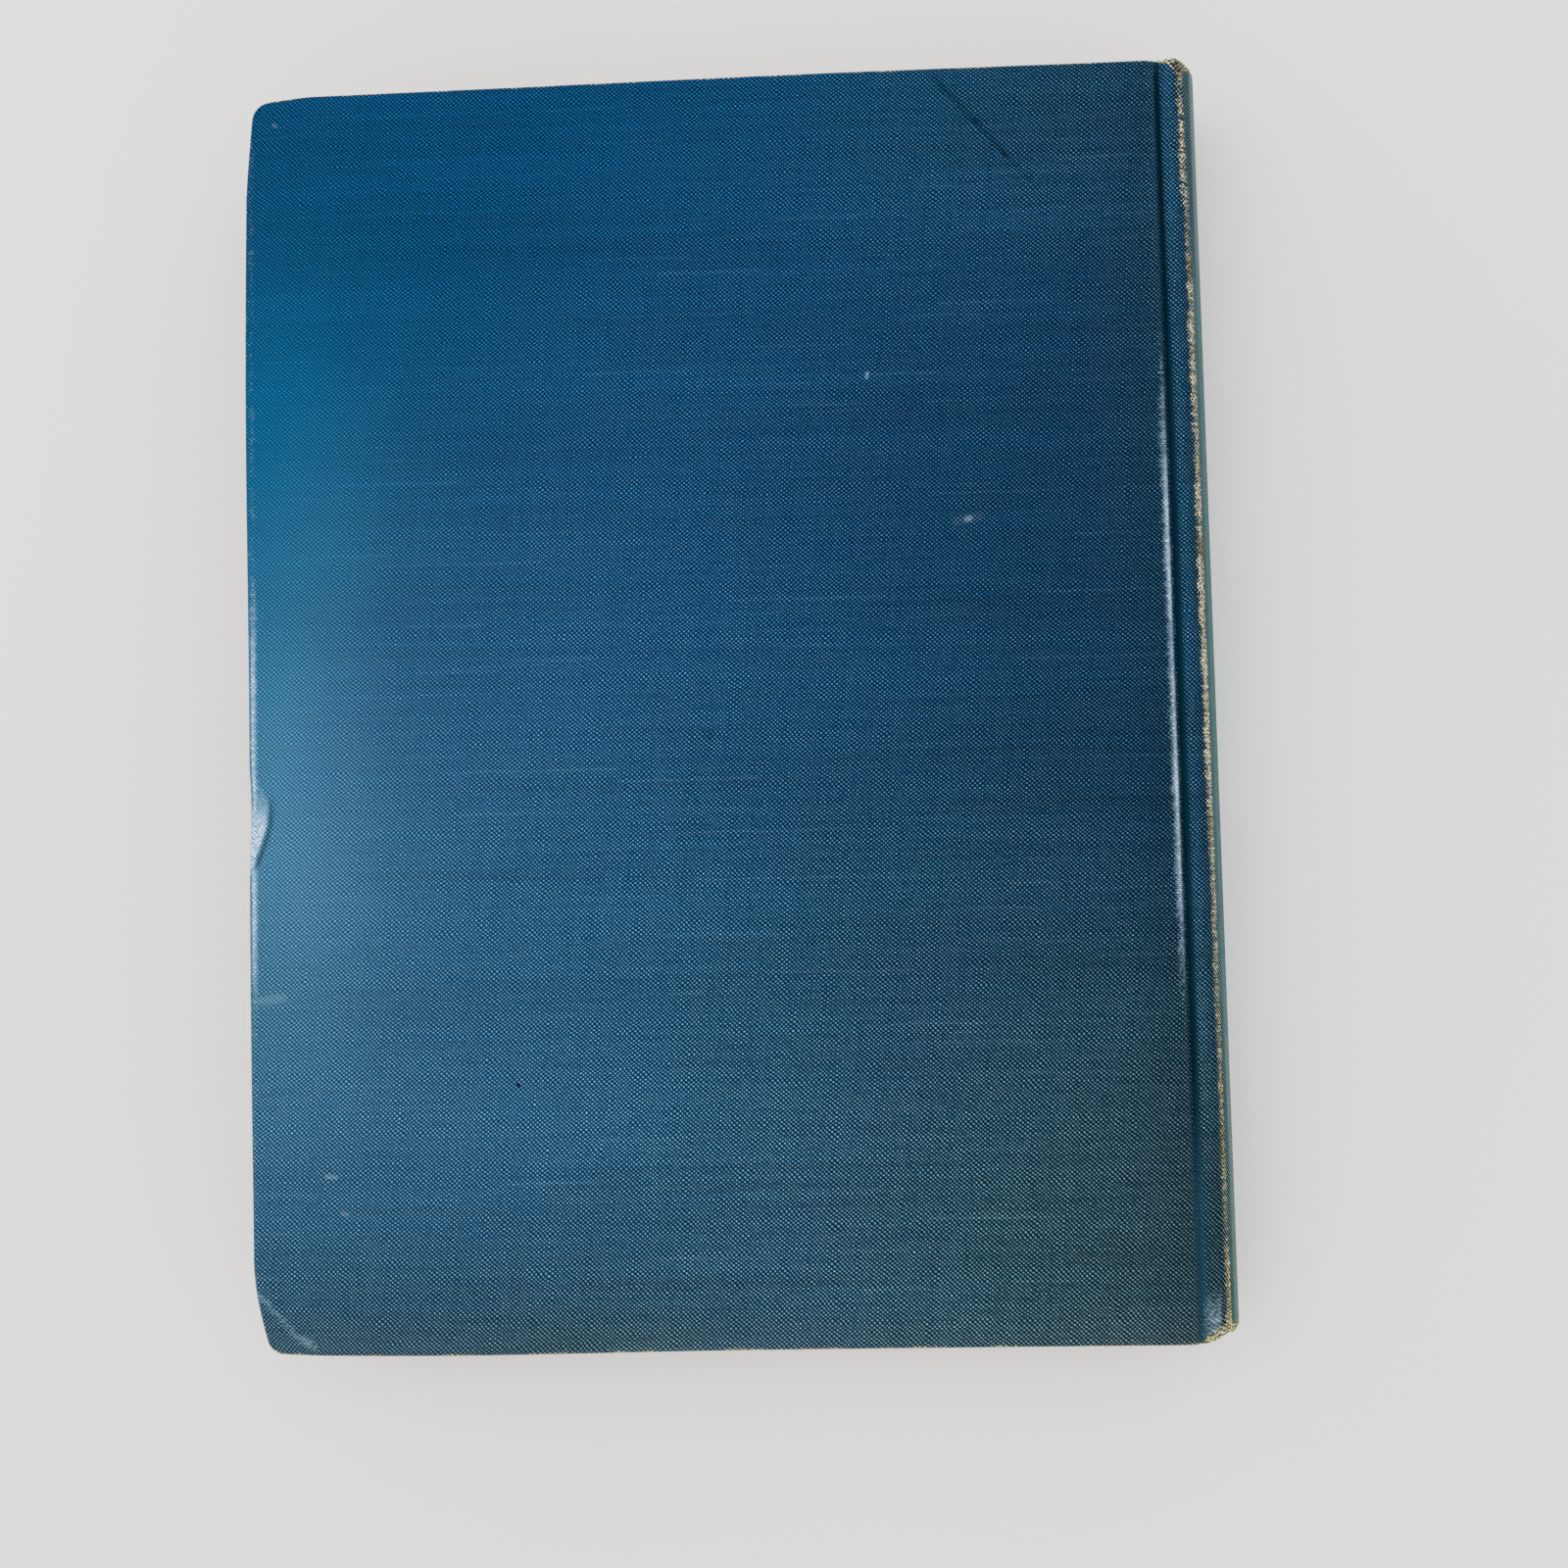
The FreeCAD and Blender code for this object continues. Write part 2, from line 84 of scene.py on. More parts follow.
def linear(red: int, green: int, blue: int) -> Colour:
    """Turn a display colour into the linear one that a shader takes.

    Each channel c in 0..1 becomes ((c + 0.055) / 1.055) ^ 2.4, or c / 12.92 when very dark.

    Args:
        red: Red, 0 to 255.
        green: Green, 0 to 255.
        blue: Blue, 0 to 255.

    Returns:
        The linear red, green and blue.
    """
    scaled = np.array([red, green, blue]) / 255
    curved = ((scaled + 0.055) / 1.055) ** 2.4
    mixed = np.where(scaled > 0.04045, curved, scaled / 12.92)
    return tuple(float(value) for value in mixed)


def ease(low: float, high: float, values: Points) -> Points:
    """Rise smoothly from 0 at low to 1 at high: t * t * (3 - 2 t) with t clamped to 0..1.

    Args:
        low: Where the rise starts; it may be above high for a fall.
        high: Where the rise ends.
        values: Where to work the curve out.

    Returns:
        The curve at each value.
    """
    share = np.clip((values - low) / (high - low), 0, 1)
    return share * share * (3 - 2 * share)


def bell(values: Points, centre: float, width: float) -> Points:
    """A bell curve, exp(-((value - centre) / width) ^ 2)."""
    return np.exp(-(((values - centre) / width) ** 2))


def patches(values: Points, rows: Iterable[Triple]) -> Points:
    """The sum of bell curves, each with its strength, its middle and its width."""
    return sum(strength * bell(values, middle, width) for strength, middle, width in rows)


def wander(values: Points, wavelength: float, seed: float) -> Points:
    """A slow irregular wave between about -1 and 1: three sines whose waves don't line up.

    Args:
        values: Places along the wave.
        wavelength: The length of the longest of the three waves, in the same unit.
        seed: Shifts the waves, so that two edges differ.

    Returns:
        The wave at each place.
    """
    phase = 2 * math.pi * values / wavelength
    first = np.sin(phase + seed)
    second = np.sin(2.37 * phase + 1.7 * seed + 0.8)
    third = np.sin(5.13 * phase + 2.9 * seed + 2.1)
    return (first + 0.6 * second + 0.4 * third) / 2


def rounded_path(corners: Points, rounds: int) -> Points:
    """Cut the corners of a path again and again, which leaves a smooth curve.

    Each edge from p to q gives the points 3/4 p + 1/4 q and 1/4 p + 3/4 q; the ends stay.

    Args:
        corners: The path's corners, one row each.
        rounds: How many times the corners are cut.

    Returns:
        The smooth path's points.
    """
    path = corners
    for _ in range(rounds):
        start, end = path[:-1], path[1:]
        cut = np.stack([0.75 * start + 0.25 * end, 0.25 * start + 0.75 * end], axis=1)
        path = np.concatenate([path[:1], cut.reshape(-1, path.shape[1]), path[-1:]])
    return path


def along(path: Points) -> Points:
    """The distance along a path at each of its points."""
    steps = np.linalg.norm(np.diff(path, axis=0), axis=1)
    return np.concatenate([[0.0], np.cumsum(steps)])


def spaced(stops: Sequence[Pair]) -> Points:
    """Uneven places from spans that each have their own step.

    Args:
        stops: Pairs of a place and the step from there to the next place.

    Returns:
        The places, with each stop among them.
    """
    spans = []
    for (start, step), (end, _) in zip(stops[:-1], stops[1:]):
        count = max(1, round((end - start) / step))
        spans.append(np.linspace(start, end, count, endpoint=False))
    spans.append(np.array([stops[-1][0]]))
    return np.concatenate(spans)


def grid_faces(rows: int, columns: int, closed: bool = False) -> Points:
    """The corners of each four-sided face of a grid of points numbered row by row.

    Args:
        rows: How many rows of points.
        columns: How many points in a row.
        closed: Whether the last column joins the first.

    Returns:
        One row of four point numbers for each face.
    """
    across = np.arange(columns if closed else columns - 1)
    down = np.arange(rows - 1)[:, None]
    here = down * columns + across
    beside = down * columns + (across + 1) % columns
    faces = np.stack([here, beside, beside + columns, here + columns], axis=-1)
    return faces.reshape(-1, 4)


def border(rows: int, columns: int) -> Points:
    """Follow three edges of such a grid: the first row, the last column, the last row back.

    Args:
        rows: How many rows of points.
        columns: How many points in a row.

    Returns:
        The point numbers in order.
    """
    return np.concatenate([np.arange(columns), np.arange(1, rows - 1) * columns + columns - 1,
                           (rows - 1) * columns + np.arange(columns)[::-1]])


@dataclass
class Surface:
    """Points and faces on their way to becoming a mesh.

    Attributes:
        points: One row of X, Y and Z for each point.
        faces: One row of four point numbers for each face.
        chart: Flat coordinates on the material, one pair for each point.
        marks: Named values for each point, which the materials read.
    """

    points: Points
    faces: Points
    chart: Points
    marks: Dict[str, Points] = field(default_factory=dict)

    @classmethod
    def grid(cls, place: Sequence[Points], chart: Sequence[Points],
             closed: bool = False) -> "Surface":
        """A grid of rows and columns; arrays of one row or one column are repeated.

        Args:
            place: X, Y and Z of the points.
            chart: Their two flat coordinates.
            closed: Whether the last column joins the first.

        Returns:
            The grid, its points numbered row by row.
        """
        x, y, z, across, up = np.broadcast_arrays(*place, *chart)
        points = np.stack([x, y, z], axis=-1).reshape(-1, 3)
        flat = np.stack([across, up], axis=-1).reshape(-1, 2)
        return cls(points, grid_faces(*x.shape, closed), flat)

    def joined(self, other: "Surface") -> "Surface":
        """Put another surface after this one.

        Args:
            other: A surface with the same marks.

        Returns:
            Both as one surface.
        """
        return Surface(
            np.concatenate([self.points, other.points]),
            np.concatenate([self.faces, other.faces + len(self.points)]),
            np.concatenate([self.chart, other.chart]),
            {name: np.concatenate([marks, other.marks[name]])
             for name, marks in self.marks.items()},
        )

    def flipped(self) -> "Surface":
        """The same surface with its faces turned to the other side."""
        return Surface(self.points, self.faces[:, ::-1], self.chart, self.marks)

    def build(self, name: str, material: bpy.types.Material,
              sharp_above: float = 50.0) -> bpy.types.Object:
        """Make the mesh and its object.

        Args:
            name: The object's name.
            material: What it is made of.
            sharp_above: Edges that turn more than this many degrees stay sharp.

        Returns:
            The new object, in the scene, at the origin.
        """
        mesh = bpy.data.meshes.new(name)
        mesh.from_pydata(self.points.tolist(), [], self.faces.tolist())
        corners = np.zeros(len(mesh.loops), np.int32)
        mesh.loops.foreach_get("vertex_index", corners)
        chart = mesh.uv_layers.new(name="chart")
        chart.data.foreach_set("uv", self.chart[corners].astype(np.float32).ravel())
        for mark, values in self.marks.items():
            attribute = mesh.attributes.new(mark, "FLOAT", "POINT")
            attribute.data.foreach_set("value", values.astype(np.float32))
        mesh.polygons.foreach_set("use_smooth", np.ones(len(mesh.polygons), bool))
        mesh.set_sharp_from_angle(angle=math.radians(sharp_above))
        mesh.update()
        mesh.materials.append(material)
        made = bpy.data.objects.new(name, mesh)
        bpy.context.scene.collection.objects.link(made)
        LOG.info("%s: %d faces", name, len(self.faces))
        return made


def thicken(piece: bpy.types.Object, thickness: float, offset: float = -1.0) -> None:
    """Give a sheet its thickness with a Solidify modifier.

    Args:
        piece: The sheet's object.
        thickness: In metres.
        offset: -1 puts the thickness behind the surface, 0 on both sides.
    """
    solid = piece.modifiers.new("thickness", "SOLIDIFY")
    solid.thickness = thickness
    solid.offset = offset
    solid.use_even_offset = False


# --- Shader expressions -----------------------------------------------------------------------


class Field:
    """A socket of a shader, with arithmetic that adds the nodes it needs."""

    def __init__(self, shader: "Shader", socket: bpy.types.NodeSocket) -> None:
        """Wrap a socket of the given shader."""
        self.shader = shader
        self.socket = socket

    def _maths(self, operation: str, *values: Any) -> "Field":
        """Add a Math node that works on this field and other values."""
        return self.shader.node("ShaderNodeMath", {"operation": operation}, [self, *values])

    def __add__(self, other: Any) -> "Field":
        """The sum."""
        return self._maths("ADD", other)

    def __sub__(self, other: Any) -> "Field":
        """The difference."""
        return self._maths("SUBTRACT", other)

    def __rsub__(self, other: Any) -> "Field":
        """The difference from a number."""
        return self.shader.node("ShaderNodeMath", {"operation": "SUBTRACT"}, [other, self])

    def __mul__(self, other: Any) -> "Field":
        """The product."""
        return self._maths("MULTIPLY", other)

    def __pow__(self, other: Any) -> "Field":
        """The power."""
        return self._maths("POWER", other)

    __radd__ = __add__
    __rmul__ = __mul__

    def sine(self) -> "Field":
        """The sine of an angle in radians."""
        return self._maths("SINE")

    def floor(self) -> "Field":
        """The whole number below."""
        return self._maths("FLOOR")

    def size(self) -> "Field":
        """The value without its sign."""
        return self._maths("ABSOLUTE")

    def greatest(self, other: Any) -> "Field":
        """The greater of two values."""
        return self._maths("MAXIMUM", other)

    def ramp(self, low: float, high: float) -> "Field":
        """Rise smoothly from 0 to 1.

        Args:
            low: Where the rise starts.
            high: Where it ends; it may be below low for a fall.

        Returns:
            The field between 0 and 1.
        """
        ends = [low, high, 0.0, 1.0] if low < high else [high, low, 1.0, 0.0]
        settings = {"interpolation_type": "SMOOTHSTEP"}
        return self.shader.node("ShaderNodeMapRange", settings, [self, *ends])


class Shader:
    """One material, built a node at a time around a Principled shader."""

    def __init__(self, name: str) -> None:
        """Start an empty material.

        Args:
            name: The material's name.
        """
        self.material = bpy.data.materials.new(name)
        self.material.use_nodes = True
        self.tree = self.material.node_tree
        self.tree.nodes.clear()
        self.surface = self.tree.nodes.new("ShaderNodeBsdfPrincipled")
        self.output = self.tree.nodes.new("ShaderNodeOutputMaterial").inputs["Surface"]
        self.tree.links.new(self.surface.outputs["BSDF"], self.output)

    def node(self, kind: str, settings: dict, inputs: Any, output: Any = 0) -> Field:
        """Add one node.

        Args:
            kind: The node's type.
            settings: Its properties, set before its sockets.
            inputs: Values or fields for its sockets, in order or by name.
            output: The name or number of the output that is wanted.

        Returns:
            The output as a field.
        """
        made = self.tree.nodes.new(kind)
        for name, value in settings.items():
            setattr(made, name, value)
        pairs = inputs.items() if isinstance(inputs, dict) else enumerate(inputs)
        for name, value in pairs:
            self.feed(made.inputs[name], value)
        return Field(self, made.outputs[output])

    def feed(self, socket: bpy.types.NodeSocket, value: Any) -> None:
        """Link a field to a socket, or set the socket to a plain value.

        Args:
            socket: The socket.
            value: A field, a colour, a number or a vector.
        """
        if isinstance(value, Field):
            self.tree.links.new(value.socket, socket)
        elif isinstance(value, tuple) and socket.type == "RGBA":
            socket.default_value = (*value, 1.0)
        else:
            socket.default_value = value

    def chart(self) -> Tuple[Field, Field]:
        """The piece's own flat coordinates, in metres."""
        return self.parts(self.node("ShaderNodeUVMap", {"uv_map": "chart"}, []))[:2]

    def place(self) -> Tuple[Field, Field, Field]:
        """The object coordinates, in metres."""
        return self.parts(self.node("ShaderNodeTexCoord", {}, [], "Object"))

    def parts(self, vector: Field) -> Tuple[Field, ...]:
        """The three numbers of a vector."""
        first = self.node("ShaderNodeSeparateXYZ", {}, [vector])
        return tuple(Field(self, socket) for socket in first.socket.node.outputs)

    def mark(self, name: str) -> Field:
        """A value that the mesh carries at its points."""
        return self.node("ShaderNodeAttribute", {"attribute_name": name}, [], "Fac")

    def vector(self, x: Any, y: Any, z: Any = 0.0) -> Field:
        """A vector from three values."""
        return self.node("ShaderNodeCombineXYZ", {}, [x, y, z])

    def noise(self, x: Any, y: Any, z: Any = 0.0, detail: float = 2.0) -> Field:
        """Cloudy noise between 0 and 1, with about one cloud in each unit.

        Args:
            x: The first coordinate.
            y: The second coordinate.
            z: The third coordinate.
            detail: How many finer layers are added.

        Returns:
            The noise as a field.
        """
        inputs = {"Vector": self.vector(x, y, z), "Scale": 1.0, "Detail": detail}
        return self.node("ShaderNodeTexNoise", {}, inputs, "Fac")

    def random(self, x: Any, y: Any) -> Field:
        """A random number between 0 and 1 for each pair of whole numbers."""
        where = {"Vector": self.vector(x, y)}
        return self.node("ShaderNodeTexWhiteNoise", {"noise_dimensions": "2D"}, where, "Value")

    def mix(self, share: Any, first: Any, second: Any) -> Field:
        """Blend two colours, which a Mix node takes at 6 and 7 and gives back at 2.

        Args:
            share: 0 for the first colour, 1 for the second.
            first: A colour or a field.
            second: A colour or a field.

        Returns:
            The blended colour.
        """
        settings = {"data_type": "RGBA", "clamp_factor": True}
        return self.node("ShaderNodeMix", settings, {0: share, 6: first, 7: second}, 2)

    def shaded(self, colour: Any, brightness: Field) -> Field:
        """Multiply a colour by a brightness."""
        grey = self.vector(brightness, brightness, brightness)
        return self.node("ShaderNodeVectorMath", {"operation": "MULTIPLY"}, [colour, grey])

    def finish(self, colour: Any, roughness: Any, height: Optional[Field], depth: float,
               strength: float = 1.0, **constants: float) -> bpy.types.Material:
        """Connect the surface and give back the material.

        Args:
            colour: The base colour.
            roughness: The roughness.
            height: A height between 0 and 1 for the bumps, or none.
            depth: How deep a height of 1 is, in metres.
            strength: How strongly the bumps show.
            **constants: Other sockets of the surface, with underscores for spaces.

        Returns:
            The finished material.
        """
        self.feed(self.surface.inputs["Base Color"], colour)
        self.feed(self.surface.inputs["Roughness"], roughness)
        if height is not None:
            inputs = {"Strength": strength, "Distance": depth, "Height": height}
            bumps = self.node("ShaderNodeBump", {}, inputs)
            self.feed(self.surface.inputs["Normal"], bumps)
        for name, value in constants.items():
            self.surface.inputs[name.replace("_", " ")].default_value = value
        return self.material


# --- Finishes ---------------------------------------------------------------------------------


@dataclass(frozen=True)
class Stroke:
    """A small mark on the flat of the back cover, in the cloth's flat coordinates.

    Attributes:
        start: Across and up at one end, in millimetres.
        end: Across and up at the other end.
        width: How far from its middle line the mark reaches.
        strength: How much of its colour shows.
    """

    start: Pair
    end: Pair
    width: float
    strength: float

    def field(self, shader: Shader, across: Field, up: Field) -> Field:
        """How much of the mark shows at each place.

        The nearest point of the middle line lies at the share t of its length, where t is
        the projection on the line, held between 0 and 1.

        Args:
            shader: The material being built.
            across: The flat coordinate across the book.
            up: The flat coordinate up the book.

        Returns:
            A field from 0 to the stroke's strength.
        """
        run_x = (self.end[0] - self.start[0]) * MM
        run_y = (self.end[1] - self.start[1]) * MM
        from_x = across - self.start[0] * MM
        from_y = up - self.start[1] * MM
        share = (from_x * run_x + from_y * run_y) * (1 / (run_x ** 2 + run_y ** 2))
        held = shader.node("ShaderNodeClamp", {}, [share, 0.0, 1.0])
        off_x = from_x - held * run_x
        off_y = from_y - held * run_y
        square = (off_x * off_x + off_y * off_y) * (1 / (self.width * MM) ** 2)
        return square.ramp(1.0, 0.0) * self.strength


RUBBED_LINE = (
    Stroke((132.6, 118.4), (140.1, 109.8), 0.8, 0.42),
    Stroke((140.1, 109.8), (145.7, 103.0), 0.8, 0.62),
    Stroke((145.7, 103.0), (150.4, 97.8), 0.8, 0.38),
)
PALE_SCUFFS = (
    Stroke((118.2, 61.0), (118.4, 61.8), 0.45, 0.75),
    Stroke((136.4, 33.2), (137.0, 33.4), 0.7, 0.65),
    Stroke((134.4, 32.9), (138.8, 33.7), 1.1, 0.07),
    Stroke((3.8, 115.6), (4.4, 115.2), 0.45, 0.30),
    Stroke((13.4, -87.4), (15.2, -87.6), 0.55, 0.55),
    Stroke((16.3, -94.2), (17.2, -94.5), 0.55, 0.40),
    Stroke((1.0, -54.6), (5.5, -54.0), 1.2, 0.30),
)
DARK_SPOTS = (
    Stroke((49.6, -71), (49.9, -71.2), 0.45, 0.9),
    Stroke((86.5, -6), (87, -6.3), 1.3, 0.3),
)


@dataclass(frozen=True)
class Weave:
    """The patterns of a cloth that the steps of its material share.

    Attributes:
        shader: The material being built.
        across: The flat coordinate across the book.
        up: The flat coordinate up the book.
        row: The number of the weft thread.
        column: The number of the warp thread.
        age: How far the cloth has turned greener.
        lift: The height of the weave.
        lines: 1 along the middle of each weft thread, 0 beside it.
        dot: A random number for each crossing.
        slub: How thick the weft thread is.
        blotch: Patches of a few centimetres.
        coarse: Patches of a few millimetres.
    """

    shader: Shader
    across: Field
    up: Field
    row: Field
    column: Field
    age: Field
    lift: Field
    lines: Field
    dot: Field
    slub: Field
    blotch: Field
    coarse: Field


@dataclass(frozen=True)
class BookCloth:
    """Dyed plain-weave bookcloth, worn pale where it is rubbed and to bare threads at edges.

    Attributes:
        pitch_across: From one warp thread to the next.
        pitch_along: From one weft thread to the next.
        skew: How far the warp leans off square.
        gap: The colour between the threads.
        thread: The colour of a thread's flank.
        aged: The colour of a thread's flank where it has turned greener.
        knuckle: The colour of a thread where it comes up, partly a painted highlight.
        pale_knuckle: The same where the cloth has turned greener.
        fresh_knuckle: The same where the dye is least faded.
        rubbed: The pale colour of rubbed edges, in places partly a painted highlight.
        painted_sheen_top: The colour of a painted sheen on the tops of the threads.
        painted_sheen_gap: The colour of the painted sheen between the threads.
        painted_deep_groove_shade: The colour of the painted shade down in the groove.
        painted_groove_shade: The same near the tail, where the groove is shallow.
        painted_glint: The colour of a painted glint on the most rubbed edges.
        dusty: The colour of dust worked into the weave.
        bare: The colour of undyed, frayed threads.
        yellowed: The same where the cloth is aged.
        stained: The colour of dirt in the frayed threads.
        faded: The colour that light has turned the spine.
    """

    pitch_across: float = 0.457 * MM
    pitch_along: float = 0.401 * MM
    skew: float = 0.10
    gap: Colour = linear(0, 34, 56)
    thread: Colour = linear(0, 77, 126)
    aged: Colour = linear(0, 77, 99)
    knuckle: Colour = linear(122, 190, 232)
    pale_knuckle: Colour = linear(166, 212, 224)
    fresh_knuckle: Colour = linear(46, 142, 188)
    rubbed: Colour = linear(152, 184, 204)
    painted_sheen_top: Colour = linear(186, 216, 228)
    painted_sheen_gap: Colour = linear(16, 158, 206)
    painted_deep_groove_shade: Colour = linear(0, 45, 62)
    painted_groove_shade: Colour = linear(16, 78, 100)
    painted_glint: Colour = linear(220, 223, 230)
    dusty: Colour = linear(182, 188, 180)
    bare: Colour = linear(214, 213, 198)
    yellowed: Colour = linear(206, 199, 158)
    stained: Colour = linear(136, 118, 78)
    faded: Colour = linear(108, 147, 148)

    def material(self) -> bpy.types.Material:
        """Dye the threads, then lay dust, wear and painted sheen, shade and glints over them.

        Returns:
            The material, which reads every mark that Wear makes.
        """
        weave = self._weave(Shader("book_cloth"))
        colour = self._painted_sheen_and_dust(weave, self._dyed(weave))
        colour = self._frayed(weave, self._rubbed(weave, colour))
        height = weave.lift.size() * 0.6 + weave.slub * 0.4
        grain = 0.60 + weave.blotch * 0.12
        return weave.shader.finish(colour, grain, height, 0.10 * MM, 0.7, Specular_IOR_Level=0.02)

    def _weave(self, shader: Shader) -> Weave:
        """Lay out the threads, which sway and lean a little.

        The height is sin(pi u) * sin(pi v), with u and v counted in threads: its sign
        changes from one crossing to the next as a plain weave does.

        Args:
            shader: The material being built.

        Returns:
            The weave.
        """
        noise, random = shader.noise, shader.random
        across, up = shader.chart()
        age = shader.mark("age")
        sway = noise(across * 140.0, up * 420.0) - 0.5
        lean = noise(across * 360.0, up * 110.0, 4.0) - 0.5
        warp = (across - up * self.skew) * (1 / self.pitch_across) + lean * 2.2
        weft = up * (1 / self.pitch_along) + sway * 2.2
        slant = ((warp + weft + 0.5) * math.pi).sine() * (age * 0.40 - 0.05)
        wave = (weft * math.pi).sine()
        row, column = weft.floor(), warp.floor()
        return Weave(
            shader, across, up, row, column, age,
            lift=(warp * math.pi).sine() * wave - slant,
            lines=wave.size().ramp(0.45, 1.0),
            dot=random(row, column),
            slub=noise(across * 60.0, random(row, 3.0) * 90.0),
            blotch=noise(across * 22.0, up * 22.0, 5.0, 3.0),
            coarse=noise(across * 420.0, up * 240.0, 2.0, 3.0),
        )

    def _dyed(self, weave: Weave) -> Field:
        """Colour the threads: dark flanks, paler knuckles, thick places and bands of tone.

        Args:
            weave: The weave.

        Returns:
            The colour of the cloth as it was dyed.
        """
        shader, across, up = weave.shader, weave.across, weave.up
        row, column, age = weave.row, weave.column, weave.age
        lift, dot, slub = weave.lift, weave.dot, weave.slub
        mix, noise, random = shader.mix, shader.noise, shader.random
        strand = noise(random(column, 7.0) * 90.0, up * 40.0)
        pieces = across * (random(row, 2.0) * 60.0 + 18.0)
        thick = random(row, (pieces + random(row, 1.0) * 9.0).floor()).ramp(0.965, 1.0)
        # Knuckles, where threads come up, are pale: partly worn, partly a painted highlight.
        knuckles = lift.ramp(0.26, 0.96) * (slub * 1.1 + strand * 0.5 + dot * 0.6 - 0.30)
        knuckles = knuckles + thick * slub * 0.32 * (0.15 + lift.ramp(-0.6, 0.6) * 0.5)
        # Painted shade on the flanks of the threads, where they dip under.
        flank = (lift * -1.0 + (dot + slub) * 0.5 - 0.5).ramp(-0.8, 0.9)
        colour = shader.shaded(mix(age, self.thread, self.aged), 1.0 - flank * 0.68)
        raised = mix(age, self.knuckle, self.pale_knuckle)
        raised = mix(shader.mark("fresh"), raised, self.fresh_knuckle)
        colour = mix(knuckles, colour, raised)
        yarn = noise(across * 16.0, random(row, 5.0) * 90.0)
        end = noise(random(column, 5.0) * 90.0, up * 16.0)
        streak = noise(across * 9.0, up * 420.0, 7.0, 3.0)
        band = noise(across * 5.0, up * 60.0, 11.0)
        tone = 0.18 + yarn * 0.55 + end * 0.22 + streak * 0.30 + band * 0.30 + weave.blotch * 0.20
        # The mark shade is painted shade that darkens the cloth.
        return shader.shaded(colour, tone * (1.0 - shader.mark("shade")))

    def _painted_sheen_and_dust(self, weave: Weave, colour: Field) -> Field:
        """Lay a painted sheen and dust over the cloth.

        Args:
            weave: The weave.
            colour: The colour so far.

        Returns:
            The new colour.
        """
        mark, mix, lift = weave.shader.mark, weave.shader.mix, weave.lift
        # The sheen is painted: pale colour where the cloth would shine in the light.
        tops = mix(mark("fresh") ** 2.0, self.painted_sheen_top, self.painted_sheen_gap)
        sheen = mix(lift.ramp(-0.6, 0.8), self.painted_sheen_gap, tops)
        colour = mix(mark("sheen") * (0.65 + weave.blotch * 0.7), colour, sheen)
        haze = 0.3 + lift.ramp(-0.5, 1.0) * 1.3
        return mix(mark("dust") * haze * (0.5 + weave.blotch), colour, self.dusty)

    def _rubbed(self, weave: Weave, colour: Field) -> Field:
        """Fade the cloth, pale its rubbed lines and edges, paint a glint, add scuffs and spots.

        Args:
            weave: The weave.
            colour: The colour so far.

        Returns:
            The new colour.
        """
        shader, across, up = weave.shader, weave.across, weave.up
        lift, dot, coarse, mix = weave.lift, weave.dot, weave.coarse, shader.mix
        rub_and_glint = shader.mark("rub_and_glint")
        faded = shader.shaded(self.faded, lift.ramp(-0.4, 0.9) * 1.75 + 0.12)
        colour = mix(shader.mark("fade") * (0.35 + coarse * 0.7), colour, faded)
        broken = (coarse - 0.5) * 0.7 + (dot - 0.5) * 0.5
        rubbed = (rub_and_glint * 1.25 + broken).ramp(0.15, 1.0) * rub_and_glint.ramp(0.0, 0.12)
        dash = shader.random(weave.row, (across * 420.0 + dot * 0.4).floor()).ramp(0.15, 0.75)
        dashes = weave.lines * (0.18 + dash * 0.50)
        rubbed = rubbed * (0.18 + lift.ramp(-0.3, 0.8) * 0.24 + dashes)
        solid = rub_and_glint.ramp(0.50, 1.05) * (0.55 + coarse * 0.5)
        colour = mix(rubbed.greatest(solid), colour, self.rubbed)
        speckle = 0.35 + lift.ramp(-0.5, 0.8) * 0.8
        for stroke in PALE_SCUFFS:
            colour = mix(stroke.field(shader, across, up) * speckle, colour, self.rubbed)
        for stroke in RUBBED_LINE + DARK_SPOTS:
            colour = mix(stroke.field(shader, across, up) * coarse * 2.0, colour, self.gap)
        # Painted glint: the most rubbed edges turn almost white, with a speckle.
        painted_glint_speckle = (coarse - 0.5) * 0.3 + (dot - 0.5) * 0.45 + lift * 0.28
        return mix((rub_and_glint + painted_glint_speckle).ramp(0.80, 1.45), colour, self.painted_glint)

    def _frayed(self, weave: Weave, colour: Field) -> Field:
        """Paint shade into the groove and fray the edges to bare, stained threads.

        Args:
            weave: The weave.
            colour: The colour so far.

        Returns:
            The new colour.
        """
        shader, across, up, coarse = weave.shader, weave.across, weave.up, weave.coarse
        mark, mix, noise = shader.mark, shader.mix, shader.noise
        # Painted shade: the groove and the rim of the crushed place are darkened.
        tone = 0.55 + weave.lines * 0.25 + coarse * 0.4
        painted_groove_shade = shader.shaded(mix(mark("shallow"), self.painted_deep_groove_shade, self.painted_groove_shade), tone)
        colour = mix(mark("crease") * 0.92, colour, painted_groove_shade)
        fray = mark("fray")
        tuft = shader.random(weave.row, 11.0)
        fine = noise(across * 2600.0, up * 1500.0)
        ragged = fray + (coarse - 0.5) * 0.7 + (tuft - 0.5) * 0.5
        ragged = ragged + (fine - 0.5) * 0.7 + weave.lift * 0.35
        frayed = ragged.ramp(0.42, 0.62) * fray.ramp(0.1, 0.4)
        dirt = noise(across * 160.0, up * 90.0, 9.0).ramp(0.52, 0.70) * 0.85
        bare = mix(dirt, mix(weave.age, self.bare, self.yellowed), self.stained)
        wisps = noise(across * 1500.0, up * 2900.0, 6.0, 3.0)
        return mix(frayed, colour, shader.shaded(bare, wisps.ramp(0.38, 0.62) * 1.20 + 0.12))


